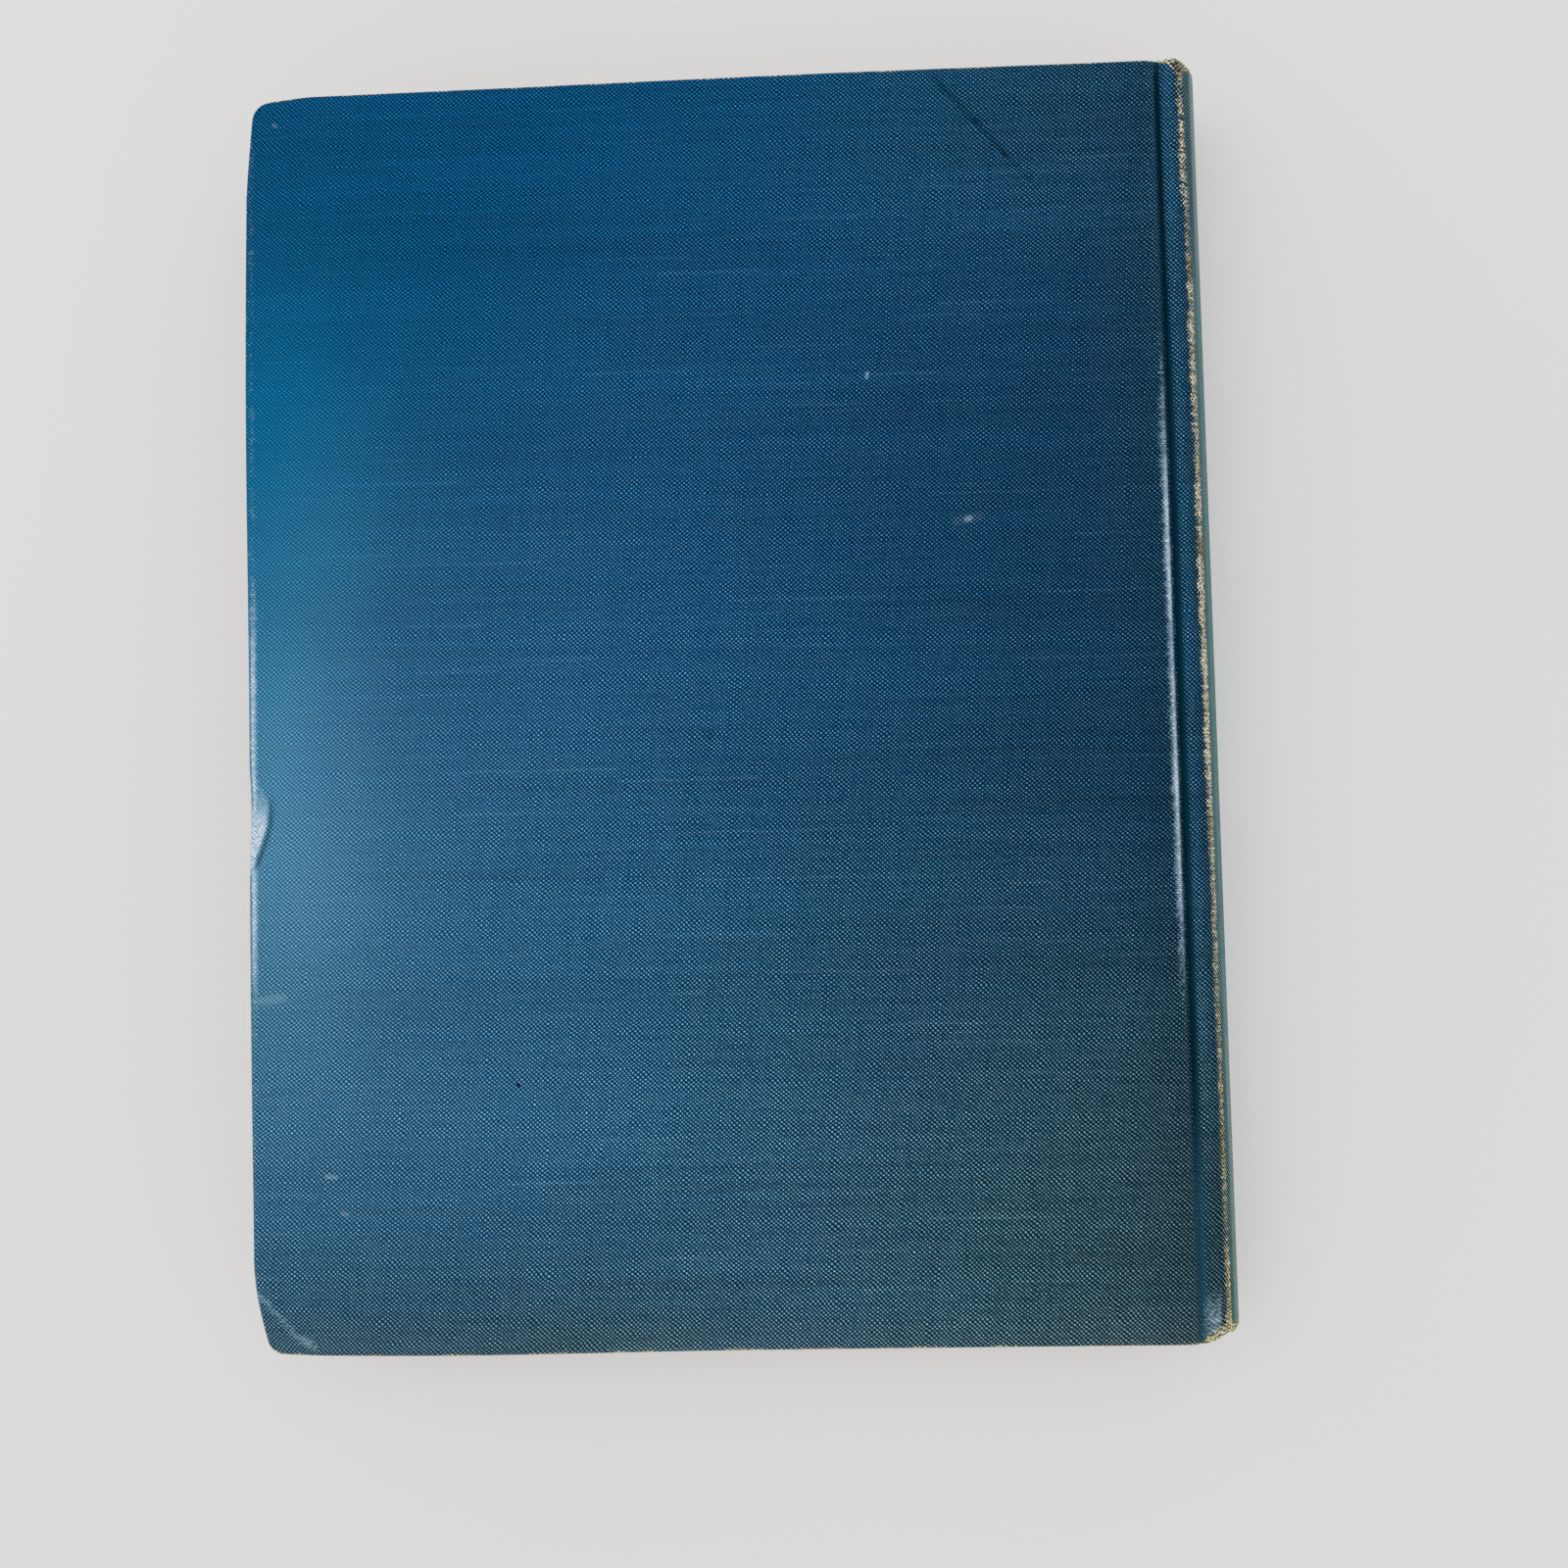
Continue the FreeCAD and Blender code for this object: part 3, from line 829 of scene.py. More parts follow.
@dataclass(frozen=True)
class PageEdges:
    """The cut edges of a block of aged paper.

    Attributes:
        paper: The colour of clean paper.
        aged: The colour of browned paper.
        shadow: The colour between two leaves.
    """

    paper: Colour = linear(232, 220, 192)
    aged: Colour = linear(201, 178, 136)
    shadow: Colour = linear(150, 126, 92)

    def material(self) -> bpy.types.Material:
        """Leaves as fine layers through the thickness, browned and dusty in places.

        Returns:
            The material.
        """
        shader = Shader("page_edges")
        x, y, z = shader.place()
        leaves = shader.noise(x * 5.0, y * 5.0, z * 5200.0, 3.0)
        groups = shader.noise(x * 2.0, y * 2.0, z * 700.0)
        dust = shader.noise(x * 26.0, y * 26.0, z * 420.0, 4.0)
        colour = shader.mix(dust.ramp(0.30, 0.85) * 0.6, self.paper, self.aged)
        colour = shader.mix(leaves.ramp(0.46, 0.30) * 0.75, colour, self.shadow)
        colour = shader.shaded(colour, 0.86 + groups * 0.26)
        height = leaves * 0.7 + groups * 0.3
        return shader.finish(colour, 0.86, height, 0.16 * MM, 0.8, Specular_IOR_Level=0.2)


@dataclass(frozen=True)
class Paper:
    """A sheet of plain paper or card.

    Attributes:
        name: The material's name.
        clean: The paper's colour.
        aged: The colour of its browned parts.
        fibre: How strongly its fibres show, from 0 to 1.
    """

    name: str
    clean: Colour
    aged: Colour
    fibre: float

    def material(self) -> bpy.types.Material:
        """Fibres, foxing and slow changes of tone.

        Returns:
            The material.
        """
        shader = Shader(self.name)
        x, y, z = shader.place()
        fibres = shader.noise(x * 900.0, y * 2600.0, z * 900.0, 3.0)
        clouds = shader.noise(x * 16.0, y * 16.0, z * 16.0, 4.0)
        specks = shader.noise(x * 260.0, y * 260.0, z * 260.0)
        colour = shader.mix(clouds.ramp(0.25, 0.80) * 0.5, self.clean, self.aged)
        colour = shader.mix(specks.ramp(0.70, 0.82) * 0.35, colour, self.aged)
        colour = shader.shaded(colour, 1.0 - self.fibre * 0.5 + fibres * self.fibre)
        return shader.finish(colour, 0.84, fibres, 0.05 * MM, 0.5, Specular_IOR_Level=0.25)


PAPERS = (
    Paper("endpaper", linear(233, 222, 196), linear(214, 194, 156), 0.14),
    Paper("inlay_card", linear(176, 160, 132), linear(150, 132, 102), 0.3),
    Paper("grey_board", linear(160, 150, 134), linear(132, 120, 102), 0.4),
    Paper("kraft_lining", linear(176, 142, 100), linear(150, 116, 76), 0.3),
)


@dataclass(frozen=True)
class OpenWeave:
    """Mull: starched cotton gauze with wide gaps between its threads.

    Attributes:
        thread: The colour of the threads.
        gap: The colour of the size between them.
        pitch: From one thread to the next.
    """

    thread: Colour = linear(222, 212, 188)
    gap: Colour = linear(168, 150, 116)
    pitch: float = 0.9 * MM

    def material(self) -> bpy.types.Material:
        """A net of threads: the greater of two sine waves, one up the book and one round it.

        Returns:
            The material.
        """
        shader = Shader("mull_gauze")
        _, y, z = shader.place()
        turn = math.pi / self.pitch
        threads = (y * turn).sine().size().greatest((z * turn).sine().size()).ramp(0.55, 0.9)
        colour = shader.mix(threads, self.gap, self.thread)
        return shader.finish(colour, 0.9, threads, 0.12 * MM, 0.8, Specular_IOR_Level=0.2)


@dataclass(frozen=True)
class StripedBand:
    """A headband of two thread colours worked over a cord.

    Attributes:
        first: The colour of one stripe.
        second: The colour of the other stripe.
        stripe: The width of a pair of stripes.
        rib: The width of one thread.
    """

    first: Colour = linear(226, 214, 182)
    second: Colour = linear(60, 96, 128)
    stripe: float = 2.4 * MM
    rib: float = 0.3 * MM

    def material(self) -> bpy.types.Material:
        """Stripes across the cord, with the ribs of its single threads.

        Returns:
            The material.
        """
        shader = Shader("striped_headband")
        across, up = shader.chart()
        stripes = (across * (2 * math.pi / self.stripe)).sine().ramp(-0.15, 0.15)
        ribs = (across * (math.pi / self.rib) + up * 900.0).sine().size()
        colour = shader.mix(stripes, self.first, self.second)
        colour = shader.shaded(colour, 0.7 + ribs * 0.4)
        return shader.finish(colour, 0.8, ribs, 0.08 * MM, 0.8, Specular_IOR_Level=0.25)


@dataclass(frozen=True)
class Thread:
    """Waxed linen sewing thread.

    Attributes:
        colour: The colour of the thread.
        dark: The colour between its twists.
        twist: The length of one twist.
    """

    colour: Colour = linear(224, 214, 190)
    dark: Colour = linear(150, 136, 108)
    twist: float = 0.5 * MM

    def material(self) -> bpy.types.Material:
        """Slanting twists along the stitch.

        Returns:
            The material.
        """
        shader = Shader("linen_thread")
        _, y, z = shader.place()
        twists = ((z + y) * (math.pi / self.twist)).sine().size()
        colour = shader.mix(twists, self.dark, self.colour)
        return shader.finish(colour, 0.75, twists, 0.05 * MM, 0.8, Specular_IOR_Level=0.3)


# --- Where things are -------------------------------------------------------------------------


class Side(Enum):
    """The two covers of the book."""

    FRONT = "front"
    BACK = "back"


@dataclass(frozen=True)
class Case:
    """The outer form of the case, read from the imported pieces.

    Attributes:
        fore: X of the covers' fore edge.
        joint: X of the covers' edge at the joint.
        swell: X of the spine where it stands out most.
        spine_edge: X of the two edges of the spine.
        head: Y of the head; the tail is at its negative.
        thickness: The whole thickness.
        panel: From the outer face of a cover to its turned-in cloth.
        ridge: The depth of the ridge beside the groove.
        shoulder: The depth of the edges of the spine.
        groove: The depth of the groove.
        edge_round: The radius of the covers' edges.
        corner: The radius of the worn corners.
        bumped: The radius of the knocked corner.
        rise: How far the round of the spine stands out past its edges.
    """

    fore: float
    joint: float
    swell: float
    spine_edge: float
    head: float
    thickness: float
    panel: float
    ridge: float
    shoulder: float = 1.6 * MM
    groove: float = 1.75 * MM
    edge_round: float = 0.8 * MM
    corner: float = 3.5 * MM
    bumped: float = 2.7 * MM
    rise: ClassVar[float] = 4.5 * MM

    @classmethod
    def measured(cls) -> "Case":
        """Read the case from the frame's boxes.

        Returns:
            The case.
        """
        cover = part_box("back_cover_cloth")
        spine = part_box("spine_cloth")
        return cls(
            fore=cover[0].x,
            joint=cover[1].x,
            swell=spine[1].x,
            spine_edge=spine[1].x - cls.rise,
            head=cover[1].y,
            thickness=cover[1].z,
            panel=cover[1].z - cover[0].z,
            ridge=spine[0].z,
        )

    @property
    def middle(self) -> float:
        """Half the thickness."""
        return self.thickness / 2

    @property
    def round_radius(self) -> float:
        """The radius of the spine, from its chord and its rise: (h h + r r) / (2 r)."""
        half = self.middle - self.shoulder
        return (half * half + self.rise * self.rise) / (2 * self.rise)

    @property
    def round_centre(self) -> float:
        """X of the centre of the spine's round."""
        return self.swell - self.round_radius


# --- The covers -------------------------------------------------------------------------------


@dataclass(frozen=True)
class CoverForm:
    """How one worn cover departs from a flat board with square corners.

    A bend is a row of how far it goes, where its middle is and how wide it is.

    Attributes:
        case: The form of the case.
        side: Which cover it is.
        reach: How far in from an edge its bends are felt.
        fore_bends: Where the fore edge bows out, up the book.
        head_bends: Where the head edge bows out, across the book.
        tail_bends: Where the tail edge bows out, across the book.
        head_drop: How far the head edge drops at its corner, and how far along.
        wave: How far the face waves, and how deep it lies on average.
        flat_rim: How wide a rim of the face is left without waves.
        knocks: For the tail and the head, how far the fore edge is knocked in there, how
            far along, and the power that its slant follows.
        knock_reach: How far in from the fore edge a knock is felt.
        crease: How far along the tail and up the fore edge the corner's crease runs.
        crease_span: From the corner to the crease.
        corner_slope: How steeply the corner bends down past the crease.
        dent: How far in the crushed place of the fore edge reaches.
        dent_depth: How deep it is.
        dent_rows: Y where closely spaced rows for it start and end.
    """

    case: Case
    side: Side
    reach: float = 60 * MM
    fore_bends: Tuple[Triple, ...] = ((0.9 * MM, 60 * MM, 58 * MM), (0.5 * MM, -46 * MM, 50 * MM))
    head_bends: Tuple[Triple, ...] = ((0.35 * MM, 15 * MM, 60 * MM),)
    tail_bends: Tuple[Triple, ...] = ((0.5 * MM, -52 * MM, 34 * MM),)
    head_drop: Pair = (0.9 * MM, 13 * MM)
    wave: float = 0.07 * MM
    flat_rim: float = 12 * MM
    knocks: Tuple[Triple, ...] = ((2.7 * MM, 17 * MM, 1.5), (1.3 * MM, 19 * MM, 1.2))
    knock_reach: float = 24 * MM
    crease: Pair = (12.5 * MM, 11.5 * MM)
    crease_span: float = 8.5 * MM
    corner_slope: float = 0.15
    dent: float = 3.6 * MM
    dent_depth: float = 0.9 * MM
    dent_rows: Pair = (-34 * MM, -4 * MM)

    def rounded(self, x: Points, y: Points) -> Tuple[Points, Points, Points, Points]:
        """Round the corners of the fore edge by squeezing each corner square into a disc.

        With a and b counted from the centre of the corner, in radii, a point goes to
        a * sqrt(1 - b b / 2) and b * sqrt(1 - a a / 2).

        Args:
            x: X of each point of the grid.
            y: Y of each point of the grid.

        Returns:
            The new X and Y, and the directions out of the sheet there.
        """
        case = self.case
        tail = case.bumped if self.side is Side.BACK else case.corner
        radius = np.where(y < 0, tail, case.corner)
        inner = radius - case.edge_round
        centre_x = case.fore + radius
        centre_y = case.head - radius
        a = np.clip((centre_x - x) / inner, 0, 1)
        b = np.clip((np.abs(y) - centre_y) / inner, 0, 1)
        new_a = a * np.sqrt(1 - b * b / 2)
        new_b = b * np.sqrt(1 - a * a / 2)
        in_corner = (a > 0) & (b > 0)
        new_x = np.where(in_corner, centre_x - new_a * inner, x)
        new_y = np.where(in_corner, np.sign(y) * (centre_y + new_b * inner), y)
        return new_x, new_y, np.where(in_corner, new_a, a), np.where(in_corner, new_b, b)

    def rows(self, near: float, fine: float, coarse: float, at_dent: float) -> Points:
        """Choose where the rows of a grid over the cover go from tail to head.

        Args:
            near: How wide a rim has closely spaced rows.
            fine: The step there.
            coarse: The step between the rims.
            at_dent: The step at the crushed place.

        Returns:
            Y of each row.
        """
        end = self.case.head - self.case.edge_round
        low, high = self.dent_rows
        return spaced([(-end, fine), (near - end, coarse), (low, at_dent), (high, coarse),
                       (end - near, fine), (end, 0.0)])

    def worn(self, x: Points, y: Points) -> Tuple[Points, Points, Points]:
        """How the worn cover departs from a flat rectangle.

        The edges bow out, the face waves, and on the back cover the fore edge and a corner
        are knocked in and the fore edge has one crushed place.

        Args:
            x: X of each point.
            y: Y of each point.

        Returns:
            The shift in X, the shift in Y and the extra depth.
        """
        case = self.case
        from_fore = x - case.fore
        shift_x = -patches(y, self.fore_bends) * ease(self.reach, 0.0, from_fore)
        drop, along_head = self.head_drop
        head = patches(x, self.head_bends) - drop * ease(along_head, 0.0, from_fore)
        shift_y = head * ease(self.reach, 0.0, case.head - y)
        shift_y = shift_y - patches(x, self.tail_bends) * ease(self.reach, 0.0, case.head + y)
        waves = self.wave * wander(x + 0.3 * y, 95 * MM, 0.4) * wander(y, 130 * MM, 2.2)
        from_groove = case.spine_edge - 8 * MM - x
        inside = ease(0.0, self.flat_rim, from_fore) * ease(0.0, self.flat_rim, from_groove)
        depth = (waves + self.wave) * inside
        if self.side is Side.BACK:
            bent = self.corner_slope * np.clip(self.past_crease(x, y), 0, None)
            depth = depth + bent + self.crushed(x, y)
            shift_x = shift_x + self.knocked(x, y)
        return shift_x, shift_y, depth

    def knocked(self, x: Points, y: Points) -> Points:
        """How far in the fore edge has been knocked at its two ends.

        A knock that is d deep and l long makes a slant d * (1 - from_end / l) ^ power.

        Args:
            x: X of each point.
            y: Y of each point.

        Returns:
            The shift in X.
        """
        ends = (self.case.head + y, self.case.head - y)
        slant = sum(deep * np.clip(1 - from_end / length, 0, 1) ** power
                    for from_end, (deep, length, power) in zip(ends, self.knocks))
        return slant * ease(self.knock_reach, 0.0, x - self.case.fore)

    def past_crease(self, x: Points, y: Points) -> Points:
        """How far each point is past the slanting crease at the knocked corner.

        The crease is a straight line with a slight swerve, a sine of the place across.

        Args:
            x: X of each point.
            y: Y of each point.

        Returns:
            The distance, below zero before the crease.
        """
        across = (x - self.case.fore) / self.crease[0]
        up = (y + self.case.head) / self.crease[1]
        swerve = 0.05 * np.sin(across * 8)
        return (1 - across - up + swerve) * self.crease_span

    def crushed(self, x: Points, y: Points) -> Points:
        """The depth of the crushed place on the fore edge, a crescent that slopes down.

        Args:
            x: X of each point.
            y: Y of each point.

        Returns:
            The depth, which grows from zero at the crescent's rim to its most at the edge.
        """
        reach = self.crescent(y)
        from_edge = x - self.case.fore - 0.2 * MM
        inside = np.clip(1 - from_edge / np.maximum(reach, 0.1 * MM), 0, 1)
        return self.dent_depth * inside * np.clip(reach / (3.2 * MM), 0, 1)

    def crescent(self, y: Points) -> Points:
        """How far in the crushed place reaches at each height on the cover."""
        return self.dent * ease(-8 * MM, -17.5 * MM, y) * ease(-32 * MM, -19 * MM, y) ** 0.8


# Up the spine's edge: how much wider or more frayed it is, where, and over what width.
EDGE_WIDTH = ((0.20, 20, 62),)
EDGE_FRAY = ((0.38, 3, 42), (-0.12, 88, 9), (-0.14, -54, 8), (-0.14, -96, 10))
# How strongly the board's edge by the groove is rubbed, with a painted glint, half way up the
# book.
BOARD_RUB_AND_GLINT = 0.96
# Painted sheen: strength, middle and width in from the fore edge, and the same up the book.
SHEEN = (
    (0.235, (2, 20), (-9, 54)),
    (0.10, (0, 62), (-35, 85)),
    (0.09, (4, 24), (52, 42)),
)


@dataclass(frozen=True)
class Wear:
    """Where a cover's cloth is rubbed, frayed and faded, and its painted sheen, shade and glint.

    Every length here is in millimetres.

    Attributes:
        form: The form of the cover under it.
        x: X of each point.
        y: Y of each point.
        z: Z of each point.
        up: The flat coordinate up the book.
        run: The distance round the folded edge, 0 on the face.
    """

    form: CoverForm
    x: Points
    y: Points
    z: Points
    up: Points
    run: Points

    @classmethod
    def of(cls, form: CoverForm, cloth: Surface) -> "Wear":
        """Read the places from a cloth that still carries the mark "run".

        Args:
            form: The form of the cover under it.
            cloth: The cloth, on the back of the book.

        Returns:
            The wear of that cloth.
        """
        x, y, z = cloth.points.T / MM
        return cls(form, x, y, z, cloth.chart[:, 1] / MM, cloth.marks["run"] / MM)

    @property
    def setback(self) -> Points:
        """How far each point is from the edge of the spine."""
        return self.form.case.spine_edge / MM - self.x

    @property
    def from_fore(self) -> Points:
        """How far each point is from the fore edge."""
        return self.x - self.form.case.fore / MM

    def marks(self) -> Dict[str, Points]:
        """Work out every mark.

        Returns:
            The marks by name, each from about 0 to 1.
        """
        rub_and_glint, crease = self._rubbed(), self._painted_groove_line()
        if self.form.side is Side.BACK:
            rub_and_glint, crease = self._damaged(rub_and_glint, crease)
        # The mark crease is painted shade in the groove and on the crushed place's rim.
        return {"rub_and_glint": rub_and_glint, "fray": self._frayed(), "crease": crease, **self._tones()}

    def _frayed(self) -> Points:
        """Bare threads: the spine's edge, its ends, and the fold of the covers' ends.

        Returns:
            How frayed each point is.
        """
        y, setback, run, case = self.y, self.setback, self.run, self.form.case
        at_tail = ease(-103, -116, y)
        width = 0.92 + patches(y, EDGE_WIDTH) + 0.5 * at_tail
        centre = -0.86 + 0.45 * ease(25, 80, y) - 0.5 * at_tail + 0.88 * ease(84, 114, y)
        strength = 0.65 + patches(y, EDGE_FRAY) + 0.08 * wander(y, 31, 0.3)
        strength = strength + 0.35 * ease(-103, -110, y)
        edge = bell(setback + 0.22 * wander(y, 37, 1.1), centre, width) * strength
        edge = edge * (np.abs(self.z - case.middle / MM) > 10.5)
        spine_ends = ease(0.2, 1.0, run) * ease(3.2, 1.8, run) * ease(3.4, 0.6, setback)
        wide = np.where(y < 0, 1.7, 1.3) * ease(5.5, 0.5, setback)
        wide = wide + 1.6 * bell(setback, 0.5, 1.2) * (y > 0)
        from_end = case.head / MM - np.abs(self.up) + 0.5 * wander(self.x, 9, 0.9)
        tip = 0.75 * ease(1.2, 0.0, from_end - wide) * ease(7, 5, setback)
        cover_ends = 0.52 * bell(run, 0.7, 0.55) * ease(2.0, 6, setback)
        broken = ease(-0.1, 0.6, wander(self.x, 17, 2.2) + 0.5 * wander(self.x, 5, 0.7))
        return np.maximum.reduce([edge, spine_ends, tip, cover_ends * (0.50 + 0.40 * broken)])

    def _rubbed(self) -> Points:
        """Rubbed lines: the board's edge by the groove, the fore edge, the spine's tail.

        Returns:
            How rubbed each point is; the board's and fore edges also get a painted glint.
        """
        y, setback = self.y, self.setback
        middle = ease(-66, -34, y) * ease(74, 38, y)
        # The board's edge is rubbed pale and, where most rubbed, given a painted glint.
        board = bell(setback, 5.90, 0.84) * (self.z > self.form.case.middle / MM)
        board = board * (0.05 + BOARD_RUB_AND_GLINT * middle) * (0.92 + 0.15 * wander(y, 43, 4.0))
        # The fore edge is partly rubbed and partly a painted highlight.
        fore = bell(self.from_fore, 0.50, 0.58) * ease(1.6, 0.9, self.run)
        fore = fore * (0.22 + ease(-62, -44, y) * ease(34, 6, y))
        threads = 0.62 * ease(-107, -117, y) * ease(0.4, 1.4, setback) * ease(5.0, 4.0, setback)
        return np.maximum.reduce([board, fore, threads])

    def _painted_groove_line(self) -> Points:
        """The painted shade of the groove: a dark line, fainter and wider at the tail.

        Returns:
            How much painted shade each point has.
        """
        at_head = ease(40, 108, self.y)
        shallow = ease(-70, -105, self.y)
        line = bell(self.setback, 4.15 + 0.5 * at_head + 0.25 * shallow,
                    0.62 - 0.16 * at_head + 0.40 * shallow)
        return (0.60 + 0.40 * ease(-110, -60, self.y)) * np.clip(1.5 * line - 0.15, 0, 1)

    def _damaged(self, rub_and_glint: Points, crease: Points) -> Tuple[Points, Points]:
        """Add the back cover's own marks: the knocked corner and the crushed edge.

        Args:
            rub_and_glint: How rubbed each point is already, with its painted glint.
            crease: How much painted shade each point has already.

        Returns:
            The new marks of rubbing and glint, and of painted shade.
        """
        y, from_fore = self.y, self.from_fore
        on_face = self.z > self.form.case.thickness / MM - 4
        past = self.form.past_crease(self.x * MM, y * MM) / MM
        ends = 0.66 + 0.34 * np.abs(np.cos(2.6 * from_fore / 9))
        # Partly rubbed, partly painted highlight: the pale corner crease and the crushed place's
        # face.
        line = 0.62 * bell(past, 0.0, 0.8) * ease(14, 10, from_fore) * ends
        reach = self.form.crescent(y * MM) / MM
        inside = from_fore - reach
        crushed = ease(0.2, -0.8, inside) * (reach > 0.2) * (0.30 + 0.80 * ease(-12, -22, y))
        # Painted shade along the inner rim of the crushed place.
        rim = 0.75 * bell(inside, 0.35, 0.4) * (reach > 0.6) * ease(-14, -20, y)
        rub_and_glint = np.where(on_face, np.maximum.reduce([rub_and_glint, line, crushed]), rub_and_glint)
        return rub_and_glint, np.where(on_face, np.maximum(crease, rim), crease)

    def _tones(self) -> Dict[str, Points]:
        """Slow changes of tone: fading, dust and age, and the painted sheen and shade.

        Returns:
            These marks by name.
        """
        x, y, setback = self.x, self.y, self.setback
        by_groove = bell(setback, 6.6, 1.6) * ease(0.0, 60, y)
        low = ease(-96, -119, y)
        shallow = ease(-70, -105, y)
        on_round = ease(0.4, -0.8, setback)
        fade = on_round * (0.40 + 0.52 * ease(95, 72, y) - 0.40 * ease(-45, -80, y))
        fade = fade + 0.45 * ease(-1.9, -2.7, setback)
        # Painted sheen: paler patches by the fore edge, about the middle and nearer the head.
        sheen = sum(strength * bell(self.from_fore, *across) * bell(y, *up)
                    for strength, across, up in SHEEN)
        # Painted shade: darker towards the spine and at the tail's fore corner,
        # less dark near the head, lighter on the ridge and by the groove.
        shade = 0.50 * ease(-45, 88, x + 0.12 * y) - 0.18 * ease(48, 112, y) * bell(x, 35, 55)
        shade = shade + 0.10 * ease(70, 82, x) - 0.05 * by_groove
        shade = shade - 0.30 * bell(setback, 2.7, 1.5) * ease(-100, -60, y)
        shade = shade + 0.33 * low * ease(40, -30, x)
        dust = 0.015 * ease(-30, -118, y) + 0.04 * ease(9, 0.0, self.form.case.head / MM + y)
        dust = dust + 1.1 * ease(-2.1, -2.7, setback)
        age = ease(40, -118, y) * (0.3 + 0.7 * ease(-60, 80, x))
        age = np.maximum(age, 0.35 * ease(62, 86, x)) + 0.4 * low * ease(20, -40, x)
        at_head = 0.34 * ease(70, 118, y) * ease(-20, 60, x)
        age = np.maximum.reduce([age, at_head, 0.5 * by_groove])
        fresh = ease(5, 155, y - x)
        return {"fade": fade, "sheen": sheen, "shade": shade, "dust": dust, "age": age,
                "fresh": fresh, "shallow": shallow}


@dataclass
class Part:
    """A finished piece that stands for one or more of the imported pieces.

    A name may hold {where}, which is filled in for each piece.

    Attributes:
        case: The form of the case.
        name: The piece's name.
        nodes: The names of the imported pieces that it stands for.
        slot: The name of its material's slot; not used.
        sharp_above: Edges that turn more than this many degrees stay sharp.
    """

    case: Case
    name: ClassVar[str]
    nodes: ClassVar[Tuple[str, ...]]
    slot: ClassVar[str]
    sharp_above: ClassVar[float] = 50.0

    @property
    def where(self) -> str:
        """What {where} stands for."""
        return ""

    def surface(self) -> Surface:
        """The piece's surface; a cover's piece is worked out on the back of the book."""
        raise NotImplementedError

    def placed(self) -> Surface:
        """The surface where the piece belongs."""
        return self.surface()

    def join(self, piece: bpy.types.Object) -> None:
        """Let the piece move with the pages."""
        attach(piece, BLOCK)

    def declare(self, piece: bpy.types.Object) -> None:
        """Do nothing; how the piece lies is not said."""

    def build(self, material: bpy.types.Material) -> None:
        """Make the piece, pass it to join and declare, and hide the imported pieces it stands for.

        Args:
            material: What it is made of.
        """
        name = self.name.format(where=self.where)
        piece = self.placed().build(name, material, self.sharp_above)
        self.join(piece)
        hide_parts(*(node.format(where=self.where) for node in self.nodes))
        self.declare(piece)


@dataclass
class CoverPart(Part):
    """A finished piece of one cover.

    Attributes:
        side: Which cover it is on.
        chart_shift: How far the chart of the front is moved up, so that the two covers
            don't match.
    """

    side: Side
    chart_shift: ClassVar[float] = 0.61

    @property
    def where(self) -> str:
        """The side, which the names start with."""
        return self.side.value

    @property
    def form(self) -> CoverForm:
        """The form of the cover."""
        return CoverForm(self.case, self.side)

    def placed(self) -> Surface:
        """Leave the surface on the back of the book, or mirror it to the front.

        There Z becomes the thickness less Z, and the faces are turned to look out again.

        Returns:
            The surface on its side.
        """
        made = self.surface()
        if self.side is Side.BACK:
            return made
        points = made.points * np.array([1.0, 1.0, -1.0])
        points = points + np.array([0.0, 0.0, self.case.thickness])
        chart = made.chart + np.array([0.0, self.chart_shift])
        return Surface(points, made.faces[:, ::-1], chart, made.marks)


